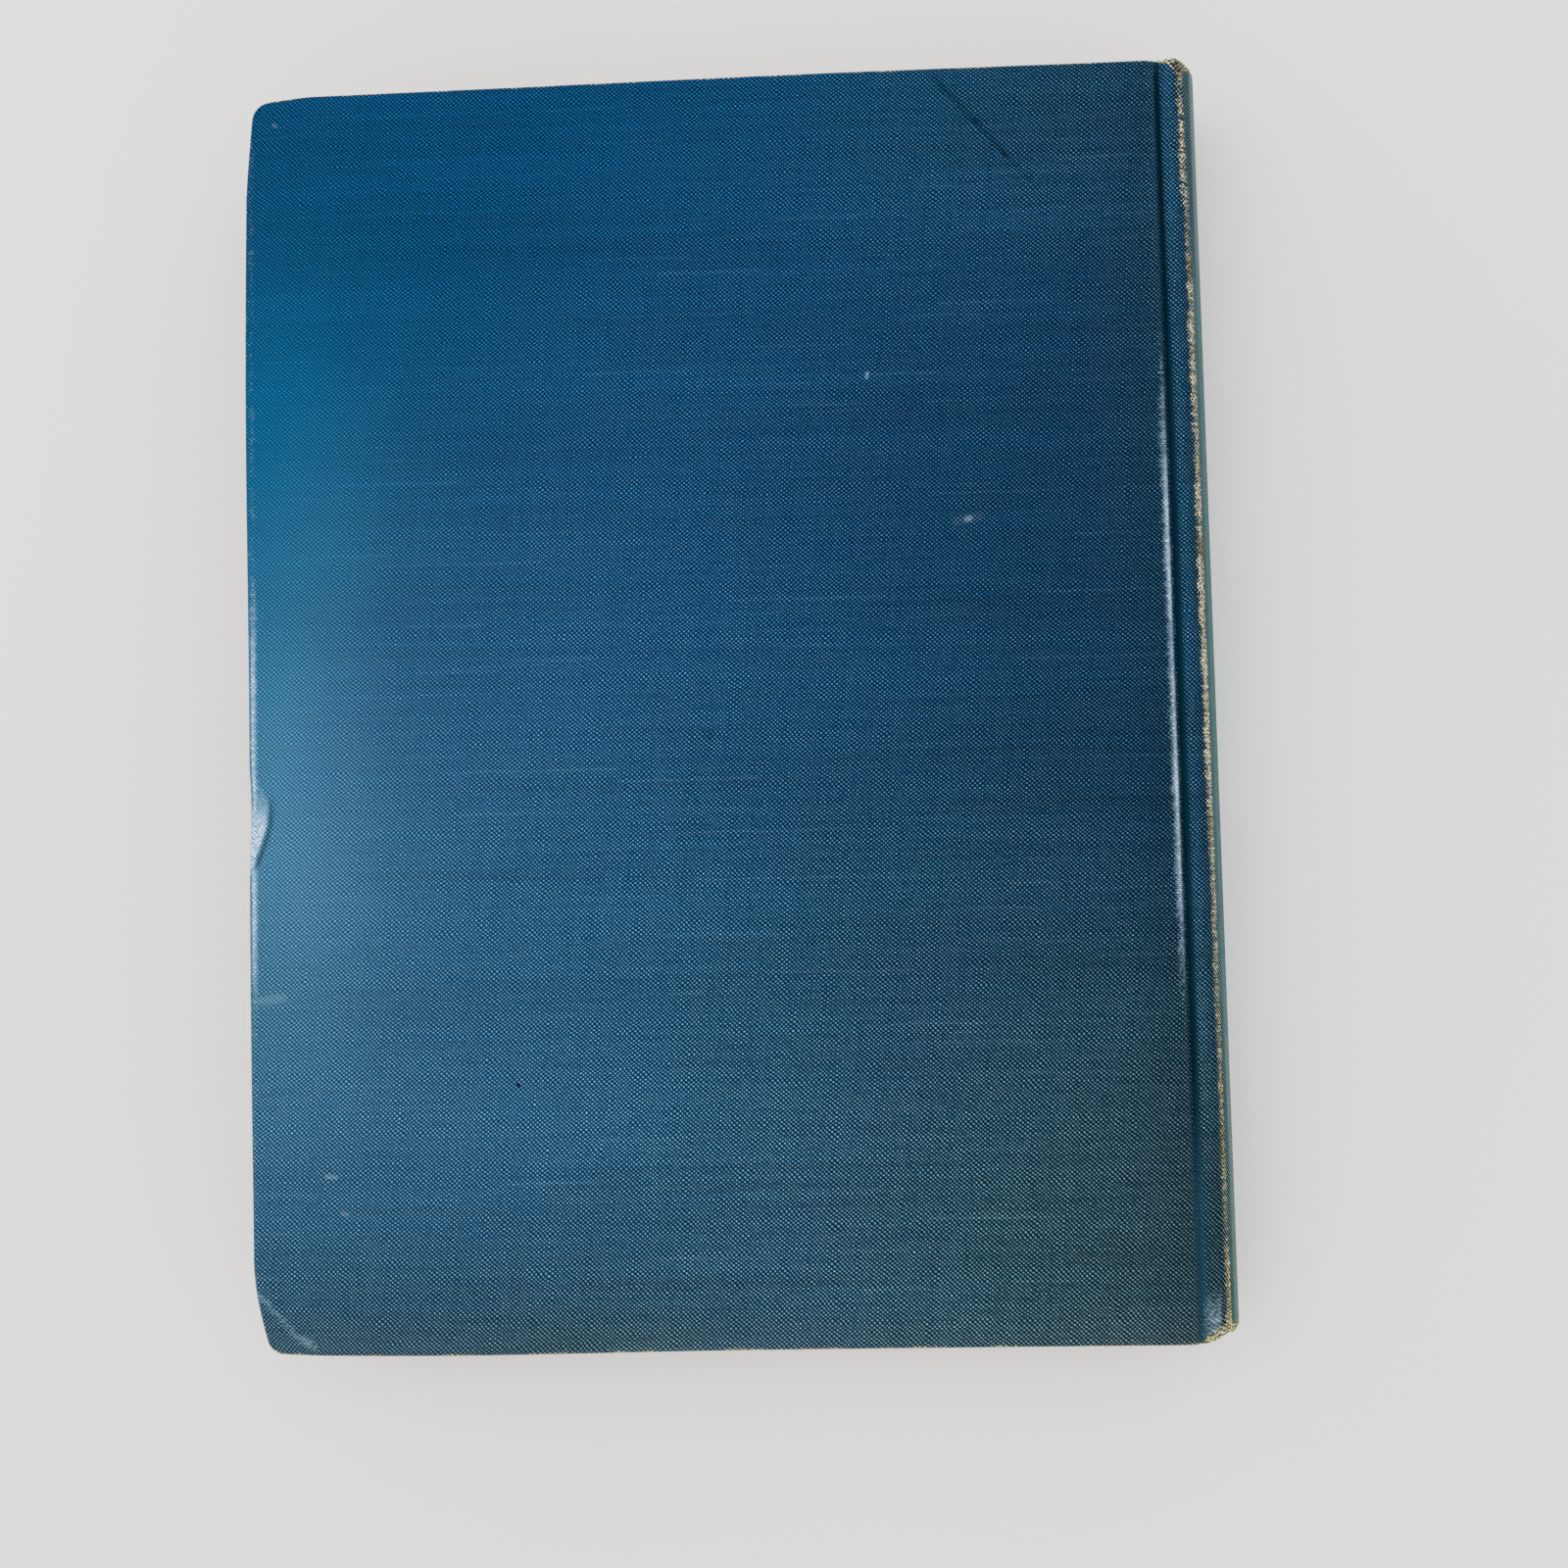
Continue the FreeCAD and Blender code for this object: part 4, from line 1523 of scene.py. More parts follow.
@dataclass
class ClothCover(CoverPart):
    """The bookcloth of one cover, with the joint and, on the back cover, the spine.

    The cloth is worked out as a grid: a section through the case, carried from tail to
    head.  Its three free edges are then folded over the boards by a ring of rows.

    Attributes:
        thickness: The thickness of the cloth.
        fold_in: How far the visible turn-in reaches on the inner face.
        joint_start: The setback where the cloth starts to turn with the cover; not used.
        joint_end: The setback where it has turned with the cover; not used.
        spine_wrap: How thick a wrap the spine's ends make.
        hollow_fold: How far the turn-in reaches inside the spine.
        joint_wrap: How thick a wrap the joint's ends make.
        groove_fold: How far the turn-in reaches under the groove.
        turned: How much cloth each edge of the cover takes up.
        round_cloth: How much more cloth the spine takes.
        ridge_at: The setback where the ridge falls into the groove.
        board_at: The setback of the edge of the board.
        board_depth: The depth of the cloth on that edge.
        flat_from: The setback where the flat of the cover starts.
        joint_run: The length of the section from the spine to the flat of the cover.
        onto_round: The setbacks between which the folded ends turn to face the spine's centre.
        onto_board: The setbacks between which they come on to the board.
        into_groove: The setbacks between which they come into the groove.
        out_of_groove: The setbacks between which they leave it, from the far side.
        head_stands: How far the spine's head stands up, at its edge and on the round.
        tail_worn: How far the spine's tail is worn in, and how much less past its edge.
        near_edge: How wide a rim has closely spaced columns and rows.
    """

    thickness: float = 0.34 * MM
    fold_in: float = 3.4 * MM
    joint_start: float = 3.9 * MM
    joint_end: float = 5.6 * MM
    spine_wrap: float = 1.4 * MM
    hollow_fold: float = 6.0 * MM
    joint_wrap: float = 0.8 * MM
    groove_fold: float = 1.4 * MM
    turned: float = 18.2 * MM
    round_cloth: float = 26 * MM
    ridge_at: float = 3.9 * MM
    board_at: float = 5.5 * MM
    board_depth: float = 0.32 * MM
    flat_from: float = 7.6 * MM
    joint_run: float = 9.2 * MM
    onto_round: Pair = (2.2 * MM, -0.4 * MM)
    onto_board: Pair = (5.2 * MM, 6.0 * MM)
    into_groove: Pair = (2.0 * MM, 3.0 * MM)
    out_of_groove: Pair = (6.8 * MM, 6.0 * MM)
    head_stands: Pair = (0.7 * MM, 0.8 * MM)
    tail_worn: Pair = (1.8 * MM, 0.7 * MM)
    near_edge: float = 16 * MM
    name: ClassVar[str] = "{where}_cloth"
    nodes: ClassVar[Tuple[str, ...]] = ("{where}_cover_cloth",)
    slot: ClassVar[str] = "book_cloth"

    def _joint_profile(self) -> Points:
        """Corners of the section from the edge of the spine to the flat of the cover.

        Returns:
            Rows of setback and depth: shoulder, ridge, groove, edge of the board, flat.
        """
        case = self.case
        return np.array([
            [0.0, case.shoulder],
            [1.3 * MM, 1.10 * MM],
            [2.6 * MM, case.ridge - 0.04 * MM],
            [self.ridge_at, case.ridge],
            [4.35 * MM, 1.14 * MM],
            [4.62 * MM, case.groove],
            [5.0 * MM, case.groove + 0.15 * MM],
            [5.25 * MM, 1.25 * MM],
            [self.board_at, self.board_depth],
            [6.2 * MM, 0.03 * MM],
            [self.flat_from, 0.0],
        ])

    def _round_profile(self) -> Points:
        """The spine from its front edge to its back edge, as rows of X and height.

        Points lie at the centre plus radius times cosine and sine of the angle.

        Returns:
            Rows of X and height.
        """
        case = self.case
        reach = math.asin((case.middle - case.shoulder) / case.round_radius)
        angles = np.linspace(-reach, reach, 40)[1:-1]
        return np.stack([case.round_centre + case.round_radius * np.cos(angles),
                         case.middle + case.round_radius * np.sin(angles)], axis=1)

    def section(self) -> Points:
        """The section through the case as a smooth path.

        The back cloth starts on the front ridge and runs round the spine; the front cloth
        starts just under it.

        Returns:
            Rows of X and height.
        """
        case = self.case
        joint = self._joint_profile()
        top = np.stack([case.spine_edge - joint[:, 0], case.thickness - joint[:, 1]], axis=1)
        flat = np.array([[case.fore + case.edge_round, case.thickness]])
        if self.side is Side.FRONT:
            tucked = top[2:4] - np.array([[0.0, 0.05 * MM], [0.0, 0.0]])
            corners = np.concatenate([tucked, top[4:], flat])
        else:
            under = np.stack([top[:4, 0], joint[:4, 1]], axis=1)[::-1]
            corners = np.concatenate([under, self._round_profile(), top, flat])
        return rounded_path(corners, 3)

    def _columns(self, path: Points) -> Tuple[Points, Points]:
        """Choose where the columns of the grid go along the section.

        Args:
            path: The section's path.

        Returns:
            The distance along the section of each column, and its X and height.
        """
        case = self.case
        distance = along(path)
        length = distance[-1]
        joint = length - (case.spine_edge - self.flat_from - case.fore - case.edge_round)
        stops = [(joint, 2.6 * MM), (length - self.near_edge, 0.6 * MM), (length, 0.0)]
        if self.side is Side.BACK:
            round_ends = joint - self.joint_run
            stops = [(0.0, 0.3 * MM), (5.0 * MM, 0.8 * MM), (round_ends, 0.16 * MM)] + stops
        else:
            stops = [(0.0, 0.16 * MM)] + stops
        places = spaced(stops)
        section = np.stack([np.interp(places, distance, path[:, axis]) for axis in (0, 1)], axis=1)
        return places, section

    def _wrap(self, section: Points) -> Tuple[Points, Points, Points]:
        """How the cloth folds over at head and tail in each column.

        Args:
            section: X and height of each column.

        Returns:
            The direction into the case as X and height, how thick a wrap it makes and how
            far it reaches back in.
        """
        case = self.case
        from_centre = section - np.array([case.round_centre, case.middle])
        radial = -from_centre / np.linalg.norm(from_centre, axis=1, keepdims=True)
        setback = case.spine_edge - section[:, 0]
        on_round = ease(*self.onto_round, setback)[:, None]
        upper = section[:, 1] > case.middle
        straight = np.stack([np.zeros(len(section)), np.where(upper, -1.0, 1.0)], axis=1)
        inward = straight * (1 - on_round) + radial * on_round
        inward = inward / np.linalg.norm(inward, axis=1, keepdims=True)
        depth = case.thickness - section[:, 1]
        on_board = ease(*self.onto_board, setback)
        wrap = self.joint_wrap + (self.spine_wrap - self.joint_wrap) * on_round[:, 0]
        wrap = wrap * (1 - on_board) + (case.panel - depth) * on_board
        fold = self.fold_in + (self.hollow_fold - self.fold_in) * (1 - on_board)
        in_groove = ease(*self.into_groove, setback) * ease(*self.out_of_groove, setback)
        return inward, wrap, fold + (self.groove_fold - fold) * in_groove

    def surface(self) -> Surface:
        """The whole cloth: the grid of the face and the ring of its folded edges.

        Returns:
            The cloth with its marks.
        """
        places, section = self._columns(self.section())
        rows = self.form.rows(self.near_edge, 0.6 * MM, 2.4 * MM, 0.7 * MM)
        y, x = np.meshgrid(rows, section[:, 0], indexing="ij")
        fill = self._groove_fill(section, y)
        new_x, new_y, out_x, out_y = self.form.rounded(x, y)
        shift_x, shift_y, depth = self.form.worn(new_x, new_y)
        place = (new_x + shift_x, new_y + shift_y + self._cap_shape(x, y),
                 section[:, 1] + fill - depth)
        face = Surface.grid(place, (places[-1] - places + (new_x - x), new_y))
        face.marks = {"run": np.zeros(len(face.points))}
        inward, wrap, fold = self._wrap(section)
        order = border(*x.shape)
        column = order % x.shape[1]
        outward = self._outward(out_x, out_y, y).reshape(-1, 2)[order]
        into = np.stack([inward[column, 0], np.zeros(len(order)), inward[column, 1]], axis=1)
        sunk = (depth - fill).ravel()[order]
        ring = self._ring(face, order, outward, into, wrap[column] - sunk, fold[column])
        whole = self._weld(face, ring, order)
        whole.marks = Wear.of(self.form, whole).marks()
        return whole

    def _cap_shape(self, x: Points, y: Points) -> Points:
        """Pull the worn tail of the spine in; at the head its edge stands up a little.

        Args:
            x: X of each point of the grid.
            y: Y of each point of the grid.

        Returns:
            The shift in Y.
        """
        edge, end = self.case.spine_edge, self.case.head
        near_edge = bell(x, edge - 1.2 * MM, 2.8 * MM)
        on_round = ease(edge - 0.5 * MM, self.case.swell, x)
        stands = self.head_stands[0] * near_edge + self.head_stands[1] * on_round
        on_spine = ease(edge - 5 * MM, edge + 2 * MM, x)
        past_edge = ease(edge + 0.5 * MM, edge + 2.4 * MM, x)
        worn = self.tail_worn[0] * on_spine - self.tail_worn[1] * past_edge
        return ease(end - 9 * MM, end, y) * stands + ease(10 * MM - end, -end, y) * worn

    def _groove_fill(self, section: Points, y: Points) -> Points:
        """How far the groove is filled: almost level at its ends and half way at the tail.

        Args:
            section: X and height of each column.
            y: Y of each point of the grid.

        Returns:
            The rise of each point of the grid.
        """
        case = self.case
        setback = case.spine_edge - section[:, 0]
        ridge, board = self.ridge_at, self.board_at
        level = np.interp(setback, [ridge, board], [case.ridge, self.board_depth])
        gap = case.thickness - level - section[:, 1]
        within = (setback > ridge) & (setback < board) & (section[:, 1] > case.middle)
        ends = 0.85 * ease(3.5 * MM, 0.9 * MM, case.head - np.abs(y))
        tail = 0.5 * ease(-72 * MM, -96 * MM, y)
        return np.maximum(ends, tail) * np.where(within, np.clip(gap, 0, None), 0)

    def _outward(self, out_x: Points, out_y: Points, y: Points) -> Points:
        """The direction out of the sheet at each point of the grid.

        Args:
            out_x: How far across the corner's disc each point lies, 0 outside corners.
            out_y: How far up it lies.
            y: Y of each point.

        Returns:
            X and Y of the directions, of length 1 on the border.
        """
        on_end = np.zeros_like(y)
        on_end[[0, -1]] = 1.0
        on_fore = np.zeros_like(y)
        on_fore[:, -1] = 1.0
        in_corner = (out_x > 0) & (out_y > 0)
        a = np.where(in_corner, out_x, on_fore)
        b = np.where(in_corner, out_y, on_end)
        both = np.stack([-a, b * np.sign(y)], axis=-1)
        return both / np.maximum(np.linalg.norm(both, axis=-1, keepdims=True), 1e-9)

    def _ring(self, face: Surface, order: Points, outward: Points, into: Points,
              wrap: Points, fold: Points) -> Surface:
        """Carry the profile of a folded edge round the border.

        The profile goes straight out, turns down over a quarter circle, runs down the edge
        of the board, turns in over another and runs back on the inner face.

        Args:
            face: The grid that the ring starts from.
            order: The border's point numbers.
            outward: The direction out of the sheet at each.
            into: The direction into the case at each.
            wrap: How thick the folded edge is.
            fold: How far it reaches back in.

        Returns:
            The ring, its points numbered row by row.
        """
        reach = self.case.edge_round
        bend = np.minimum(reach, wrap / 2)[:, None]
        turn = np.linspace(0, math.pi / 2, 6)[None, :]
        out_top = reach - bend + bend * np.sin(turn[:, 1:])
        down_top = bend - bend * np.cos(turn[:, 1:])
        out_under = reach - bend + bend * np.cos(turn)
        down_under = wrap[:, None] - bend + bend * np.sin(turn)
        back = reach - bend - (fold[:, None] - bend) * np.array([[0.5, 1.0]])
        out = np.concatenate([out_top, out_under, back], axis=1)
        down = np.concatenate([down_top, down_under, np.repeat(wrap[:, None], 2, axis=1)], axis=1)
        steps = np.hypot(np.diff(out, axis=1), np.diff(down, axis=1))
        run = np.cumsum(np.concatenate([np.hypot(out[:, :1], down[:, :1]), steps], axis=1), axis=1)
        base = face.points[order]
        flat = np.concatenate([outward, np.zeros((len(order), 1))], axis=1)
        points = base[:, None] + out[..., None] * flat[:, None] + down[..., None] * into[:, None]
        chart = face.chart[order][:, None] + run[..., None] * outward[:, None]
        points = np.swapaxes(points, 0, 1).reshape(-1, 3)
        chart = np.swapaxes(chart, 0, 1).reshape(-1, 2)
        faces = grid_faces(out.shape[1], len(order))
        return Surface(points, faces, chart, {"run": run.T.ravel()})

    @staticmethod
    def _weld(face: Surface, ring: Surface, order: Points) -> Surface:
        """Join the ring to the grid so that they share the border's points.

        Args:
            face: The grid.
            ring: The rows round it.
            order: The border's point numbers.

        Returns:
            Both as one surface.
        """
        first = len(face.points)
        count = len(order)
        start = np.stack([order[:-1], order[1:], first + np.arange(1, count),
                          first + np.arange(count - 1)], axis=1)
        joined = face.joined(ring)
        joined.faces = np.concatenate([face.faces[:, ::-1], start, ring.faces + first])
        return joined

    def join(self, piece: bpy.types.Object) -> None:
        """Give the cloth its thickness.

        Args:
            piece: The cloth.
        """
        edge = self.case.spine_edge
        edge - self.joint_start
        edge - self.joint_end
        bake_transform(piece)
        thicken(piece, self.thickness)

    def declare(self, piece: bpy.types.Object) -> None:
        """Work out the size of this part of the cloth before it was folded; it is not used.

        Args:
            piece: The cloth; not used.
        """
        across = self.case.spine_edge - self.case.fore + self.turned
        if self.side is Side.BACK:
            across += self.round_cloth
        2 * (self.case.head + self.turned)


@dataclass
class CoverBoard(CoverPart):
    """The grey board inside one cover, with the cover's worn face and a flat inner face.

    Attributes:
        top: The depth of its worn face.
        under: The depth of its inner face.
        shy: How far it ends before the board's edge at the joint.
        near_edge: How wide a rim has closely spaced columns and rows.
    """

    top: float = 0.42 * MM
    under: float = 2.78 * MM
    shy: float = 0.2 * MM
    near_edge: float = 17 * MM
    name: ClassVar[str] = "{where}_board_worn"
    nodes: ClassVar[Tuple[str, ...]] = ("{where}_board",)
    slot: ClassVar[str] = "grey_board"
    sharp_above: ClassVar[float] = 40.0

    def surface(self) -> Surface:
        """Two grids joined by a strip: the worn face and the flat inner face.

        Both have the same rounded corners, and their edges lie above each other.

        Returns:
            The board.
        """
        case, near = self.case, self.near_edge
        fine, coarse = 0.8 * MM, 3.0 * MM
        _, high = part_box(f"{self.where}_board")
        left = case.fore + case.edge_round
        columns = spaced([(left, fine), (left + near, coarse), (high.x - self.shy, 0.0)])
        y, x = np.meshgrid(self.form.rows(near, fine, coarse, fine), columns, indexing="ij")
        x, y, _, _ = self.form.rounded(x, y)
        shift_x, shift_y, depth = self.form.worn(x, y)
        x, y = x + shift_x, y + shift_y
        board = Surface.grid((x, y, case.thickness - self.top - depth), (x, y))
        under = Surface.grid((x, y, case.thickness - self.under), (x, y)).flipped()
        count_y, count_x = x.shape
        back = np.arange(count_y - 1)[::-1] * count_x
        edge = np.concatenate([border(count_y, count_x), back])
        wall = np.stack([edge[:-1], edge[:-1] + x.size, edge[1:] + x.size, edge[1:]], axis=1)
        board = board.joined(under)
        board.faces = np.concatenate([board.faces, wall])
        return board

    def join(self, piece: bpy.types.Object) -> None:
        """Let the board turn with its cover."""
        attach(piece, f"{self.where}_cover")


# --- Papers -----------------------------------------------------------------------------------


@dataclass
class Endpaper(CoverPart):
    """One folded sheet: the pastedown on the board, the fold and the flyleaf on the pages.

    Attributes:
        thickness: The thickness of the paper.
        margin: From the edge of the cover to the edge of the pastedown.
        sink: How far the pastedown sinks where the cloth's turn-ins end.
        turn_in: From the edge of the cover to the end of the turn-ins.
        pastedown_at: How far the pastedown lies inside the cover's inner face.
        flyleaf_at: How far the flyleaf does.
        still: How far from either half the fold starts to turn; not used.
        root_inset: From the flyleaf's edge to the fold.
    """

    thickness: float = 0.1 * MM
    margin: float = 3.0 * MM
    sink: float = 0.36 * MM
    turn_in: float = 15.0 * MM
    pastedown_at: float = 0.10 * MM
    flyleaf_at: float = 0.30 * MM
    still: float = 0.02 * MM
    root_inset: float = 0.15 * MM
    name: ClassVar[str] = "{where}_endpaper"
    nodes: ClassVar[Tuple[str, ...]] = ("{where}_pastedown", "{where}_flyleaf")
    slot: ClassVar[str] = "endpaper"

    @property
    def fold(self) -> float:
        """X of the pastedown's edge at the fold."""
        return self.case.joint + 0.2 * MM

    def surface(self) -> Surface:
        """A section from the flyleaf's fore edge round the fold and back over the board.

        The section's height is level on the pages, drops by the gap in the fold and is then
        level on the board, less the sink where the turn-ins end.  It is carried from tail
        to head.

        Returns:
            The sheet.
        """
        case = self.case
        page_low, page_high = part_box(f"{self.where}_flyleaf")
        root = page_high.x - self.root_inset
        leaf_x = spaced([(page_low.x, 4 * MM), (root - 4 * MM, 0.5 * MM), (root, 0.0)])
        turn = np.linspace(0, 1, 26)[1:-1]
        board_x = spaced([(case.fore + self.margin, 0.5 * MM),
                          (case.fore + self.turn_in + 2 * MM, 4 * MM),
                          (self.fold - 3 * MM, 0.5 * MM), (self.fold, 0.0)])[::-1]
        x = np.concatenate([leaf_x, root + (self.fold - root) * turn, board_x])
        share = np.concatenate([np.zeros(len(leaf_x)), turn, np.ones(len(board_x))])
        depth = case.panel + self.flyleaf_at + (self.pastedown_at - self.flyleaf_at) * share
        reach = page_high.y + (case.head - self.margin - page_high.y) * share
        rows = spaced([(-1.0, 0.004), (-0.86, 0.03), (0.86, 0.004), (1.0, 0.0)])
        y = rows[:, None] * reach
        inset = [ease(self.turn_in - 0.5 * MM, self.turn_in + 0.7 * MM, distance)
                 for distance in (x - case.fore, case.head - np.abs(y))]
        sunk = self.sink * inset[0] * inset[1] * (share >= 1)
        joint = ease(case.joint - 0.4 * MM, case.joint - 2.5 * MM, x)
        run = np.concatenate([[0.0], np.cumsum(np.abs(np.diff(x)))])
        return Surface.grid((x, y, case.thickness - (depth - sunk * joint)), (run, y))

    def join(self, piece: bpy.types.Object) -> None:
        """Give the paper its thickness.

        Args:
            piece: The sheet.
        """
        levels = [self.case.panel + self.flyleaf_at - self.still,
                  self.case.panel + self.pastedown_at + self.still]
        if self.side is Side.BACK:
            levels = [self.case.thickness - level for level in levels]
        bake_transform(piece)
        thicken(piece, self.thickness, 0.0)

    def declare(self, piece: bpy.types.Object) -> None:
        """Work out the flat size from the leaf's fore edge to the pastedown's; it is not used.

        Args:
            piece: The sheet; not used.
        """
        page_low, page_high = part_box(f"{self.where}_flyleaf")
        across = page_high.x - page_low.x + self.fold - self.case.fore - self.margin


@dataclass
class SpineInlay(Part):
    """The card that stiffens the spine, worn short at the tail with the cloth over it.

    Attributes:
        worn: How much of it is worn away at the tail.
        thickness: The thickness of the card.
        clear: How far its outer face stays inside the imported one.
    """

    worn: float = 2.3 * MM
    thickness: float = 0.5 * MM
    clear: float = 0.06 * MM
    name: ClassVar[str] = "spine_inlay_worn"
    nodes: ClassVar[Tuple[str, ...]] = ("spine_inlay",)
    slot: ClassVar[str] = "inlay_card"

    def surface(self) -> Surface:
        """A curved strip: its section is a closed loop of two arcs, carried up the book.

        At both ends the loop shrinks to one arc, which closes the strip.

        Returns:
            The strip.
        """
        case = self.case
        low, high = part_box("spine_inlay")
        outer = high.x - case.round_centre
        spread = math.asin((high.z - case.middle) / outer) - self.thickness / outer
        angles = np.linspace(-spread, spread, 48)
        out = outer - self.clear
        arc = np.repeat([out, out - self.thickness], len(angles))
        turn = np.concatenate([angles, angles[::-1]])
        rows = spaced([(low.y + self.worn, 6 * MM), (high.y - 0.6 * MM, 0.0)])
        rows = np.concatenate([rows[:1], rows, rows[-1:]])[:, None]
        shrink = np.ones_like(rows)
        shrink[[0, -1]] = 0.0
        middle = out - self.thickness / 2
        radius = middle + (arc - middle) * shrink
        place = (case.round_centre + radius * np.cos(turn), rows,
                 case.middle + radius * np.sin(turn))
        return Surface.grid(place, place[1:], closed=True)


@dataclass
class Headband(Part):
    """A headband: a cord covered in thread on the end of the pages.

    Attributes:
        node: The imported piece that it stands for.
        bead: The radius of the cord.
        rise: From the end of the pages to the middle of the cord.
        seat: From the end of the pages to the underside of the band.
        tab: How far the band runs down the back of the pages.
        tab_thickness: How thick it is there.
    """

    node: str
    bead: float = 0.85 * MM
    rise: float = 0.75 * MM
    seat: float = 0.02 * MM
    tab: float = 9.0 * MM
    tab_thickness: float = 0.2 * MM
    name: ClassVar[str] = "{where}_worked"
    nodes: ClassVar[Tuple[str, ...]] = ("{where}",)
    slot: ClassVar[str] = "headband"
    sharp_above: ClassVar[float] = 40.0

    @property
    def where(self) -> str:
        """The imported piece's name, which the names start with."""
        return self.node

    def surface(self) -> Surface:
        """Carry the band's profile round the back of the pages.

        The profile is a loop: up the back, over the cord in a half circle and down again.
        Its point 0 is the outer foot, 1 to 14 go over the cord, 15 and 16 are under it and
        17 is the inner foot.  Faces between opposite points of the loop close both ends.

        Returns:
            The band.
        """
        _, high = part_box(self.node)
        at_head = high.y > 0
        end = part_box("text_block")[1].y
        outer = high.x - self.case.round_centre
        spread = math.asin((high.z - self.case.middle) / outer)
        angles = np.linspace(-spread, spread, 60)[:, None]
        turn = np.linspace(0, math.pi, 14)
        cord_out = outer - self.bead + self.bead * np.cos(turn)
        cord_up = end + self.rise + self.bead * np.sin(turn)
        inner, seat = outer - self.tab_thickness, end + self.seat
        out = np.concatenate([[outer], cord_out, [outer - 2 * self.bead, inner, inner]])
        up = np.concatenate([[end - self.tab], cord_up, [seat, seat, end - self.tab]])
        if not at_head:
            up = -up
        place = (self.case.round_centre + out * np.cos(angles), up,
                 self.case.middle + out * np.sin(angles))
        run = along(np.stack([out, up], axis=1))
        band = Surface.grid(place, (angles * outer, run), closed=True)
        cap = np.array([(1, 0, 17, 16), (16, 15, 14, 1)]
                       + [(14 - step, 13 - step, 2 + step, 1 + step) for step in range(6)])
        last = len(band.points) - len(out)
        band.faces = np.concatenate([band.faces, cap, cap[:, ::-1] + last])
        return band if at_head else band.flipped()


# --- The room ---------------------------------------------------------------------------------


def put(name: str, data: bpy.types.ID, place: Triple, turn: Euler) -> bpy.types.Object:
    """Put a lamp or a camera in the scene.

    Args:
        name: The object's name.
        data: The lamp or the camera.
        place: Where it is.
        turn: How it is turned.

    Returns:
        The new object.
    """
    made = bpy.data.objects.new(name, data)
    made.location = place
    made.rotation_euler = turn
    bpy.context.scene.collection.objects.link(made)
    return made


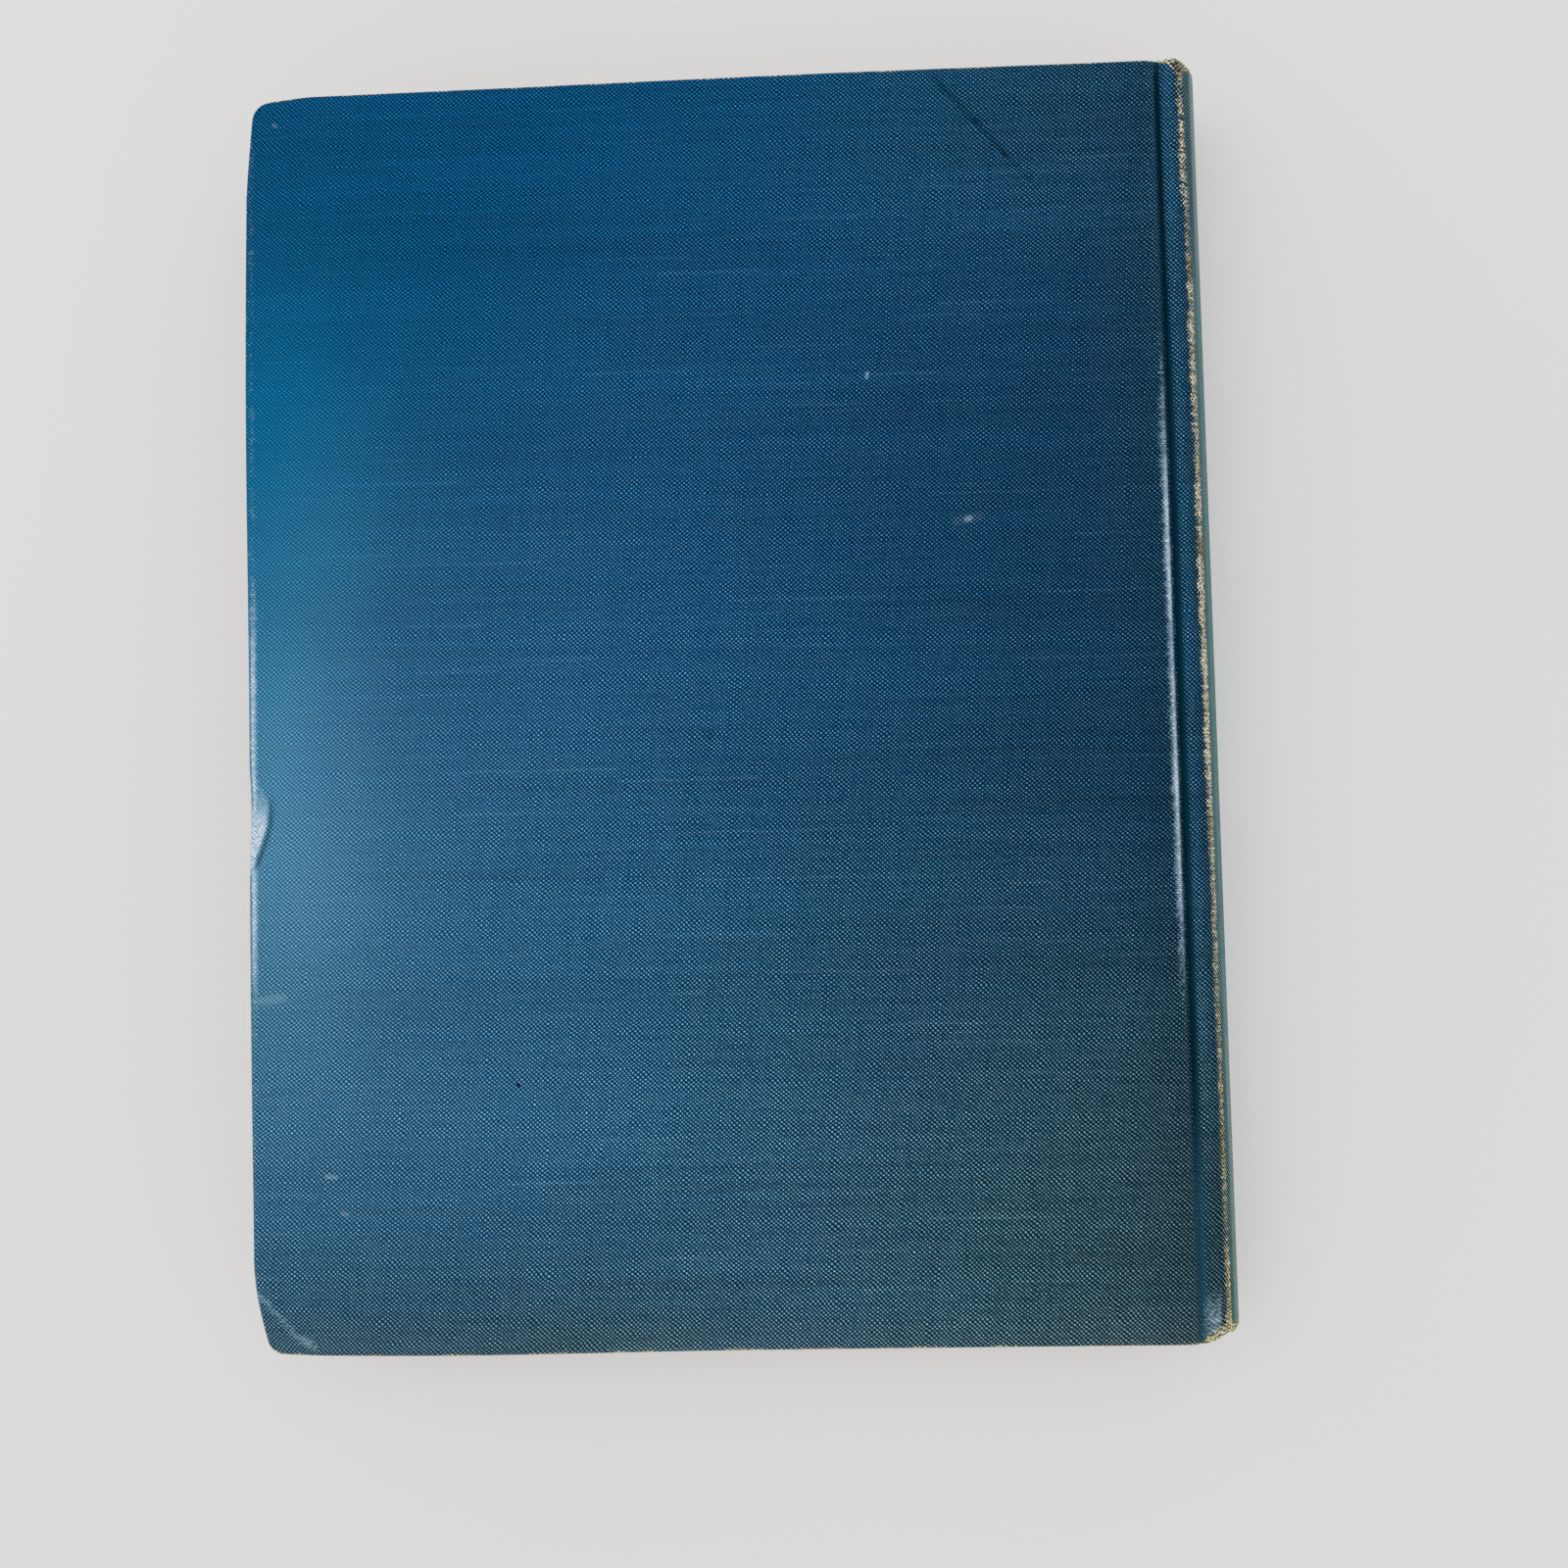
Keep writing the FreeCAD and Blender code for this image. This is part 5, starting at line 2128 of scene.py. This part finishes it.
@dataclass
class Studio:
    """A pale floor, soft lamps and a camera that looks down on the back cover.

    Attributes:
        floor_colour: The colour of the floor.
        floor_size: How far the floor reaches.
        floor_height: Z of the floor, just under the book.
        glow: How much of what the camera sees of the floor is its own light.
        eye: Where the camera is.
        turn: How the camera is turned, in degrees about X, Y and Z.
        lens: The focal length in millimetres on a 36 mm sensor.
    """

    floor_colour: Colour = linear(222, 221, 221)
    floor_size: float = 4.0
    floor_height: float = -0.02 * MM
    glow: float = 0.4
    eye: Triple = (0.0207, -0.0313, 0.3208)
    turn: Triple = (2.94, 2.34, -1.32)
    lens: float = 36.0

    def floor(self) -> None:
        """Lay the floor as a stage piece, with its faint paper grain."""
        side = np.linspace(-self.floor_size / 2, self.floor_size / 2, 9)
        place = (side, side[:, None], self.floor_height)
        shader = Shader("floor_paper")
        x, y, _ = shader.place()
        colour = shader.shaded(self.floor_colour, 0.97 + shader.noise(x * 3.0, y * 3.0) * 0.06)
        shader.finish(colour, 0.7, None, 0.0)
        self._pale(shader, colour)
        Surface.grid(place, place[:2]).build("floor", shader.material)

    def _pale(self, shader: Shader, colour: Field) -> None:
        """Let the floor shine a little by itself where it is seen, so that its shadow is soft.

        Args:
            shader: The floor's material.
            colour: The floor's colour.
        """
        seen = shader.node("ShaderNodeLightPath", {}, [], "Is Camera Ray")
        for ray in ("Is Glossy Ray", "Is Transmission Ray"):
            seen = seen.greatest(shader.node("ShaderNodeLightPath", {}, [], ray))
        glow = shader.node("ShaderNodeEmission", {}, {"Color": colour, "Strength": 0.96})
        base = Field(shader, shader.surface.outputs["BSDF"])
        mixed = shader.node("ShaderNodeMixShader", {}, [seen * self.glow, base, glow])
        shader.feed(shader.output, mixed)

    def lamp(self, name: str, place: Triple, size: float, power: float) -> None:
        """Hang a square soft lamp that faces the book.

        Args:
            name: The lamp's name.
            place: Where it hangs.
            size: The length of its side.
            power: Its power in watts.
        """
        data = bpy.data.lights.new(name, "AREA")
        data.shape = "SQUARE"
        data.size = size
        data.energy = power
        put(name, data, place, (-Vector(place)).to_track_quat("-Z", "Y").to_euler())

    def world(self, strength: float) -> None:
        """Fill the room with an even pale light.

        Args:
            strength: How strong it is.
        """
        world = bpy.data.worlds.new("room")
        world.use_nodes = True
        background = world.node_tree.nodes["Background"]
        background.inputs["Color"].default_value = (1.0, 1.0, 1.0, 1.0)
        background.inputs["Strength"].default_value = strength
        bpy.context.scene.world = world

    def camera(self) -> None:
        """Set the camera over the book."""
        data = bpy.data.cameras.new("camera")
        data.lens = self.lens
        data.sensor_width = 36.0
        data.clip_start = 0.01
        turn = Euler([math.radians(angle) for angle in self.turn], "XYZ")
        bpy.context.scene.camera = put("camera", data, self.eye, turn)

    def build(self) -> None:
        """Make the whole room."""
        self.floor()
        self.lamp("window", (-0.62, 0.16, 1.15), 0.7, 2.6)
        self.lamp("overhead", (0.35, 0.45, 1.5), 1.0, 2.6)
        self.world(0.80)
        self.camera()
        bpy.context.scene.view_settings.view_transform = "Standard"


# --- Putting it together ----------------------------------------------------------------------


def dress(nodes: Iterable[str], material: bpy.types.Material) -> None:
    """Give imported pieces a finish.

    Args:
        nodes: The pieces' names.
        material: What they are made of.
    """
    for name in nodes:
        mesh = frame["nodes"][name].data
        mesh.materials.clear()
        mesh.materials.append(material)
        LOG.info("%s: %s", name, material.name)


def main() -> None:
    """Make every piece of the book and the room that it lies in."""
    logging.basicConfig(level=logging.INFO, format="%(name)s: %(message)s")
    case = Case.measured()
    cloth = BookCloth().material()
    endpaper, card, board, kraft = (paper.material() for paper in PAPERS)
    for side in Side:
        ClothCover(case, side).build(cloth)
        CoverBoard(case, side).build(board)
        Endpaper(case, side).build(endpaper)
    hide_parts("spine_cloth")
    band = StripedBand().material()
    for node in ("head_band", "tail_band"):
        Headband(case, node).build(band)
    dress(["text_block"], PageEdges().material())
    SpineInlay(case).build(card)
    dress(["spine_lining"], kraft)
    dress(["mull"], OpenWeave().material())
    dress(["sewing_thread"], Thread().material())
    Studio().build()


if __name__ == "__main__":
    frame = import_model()
    main()
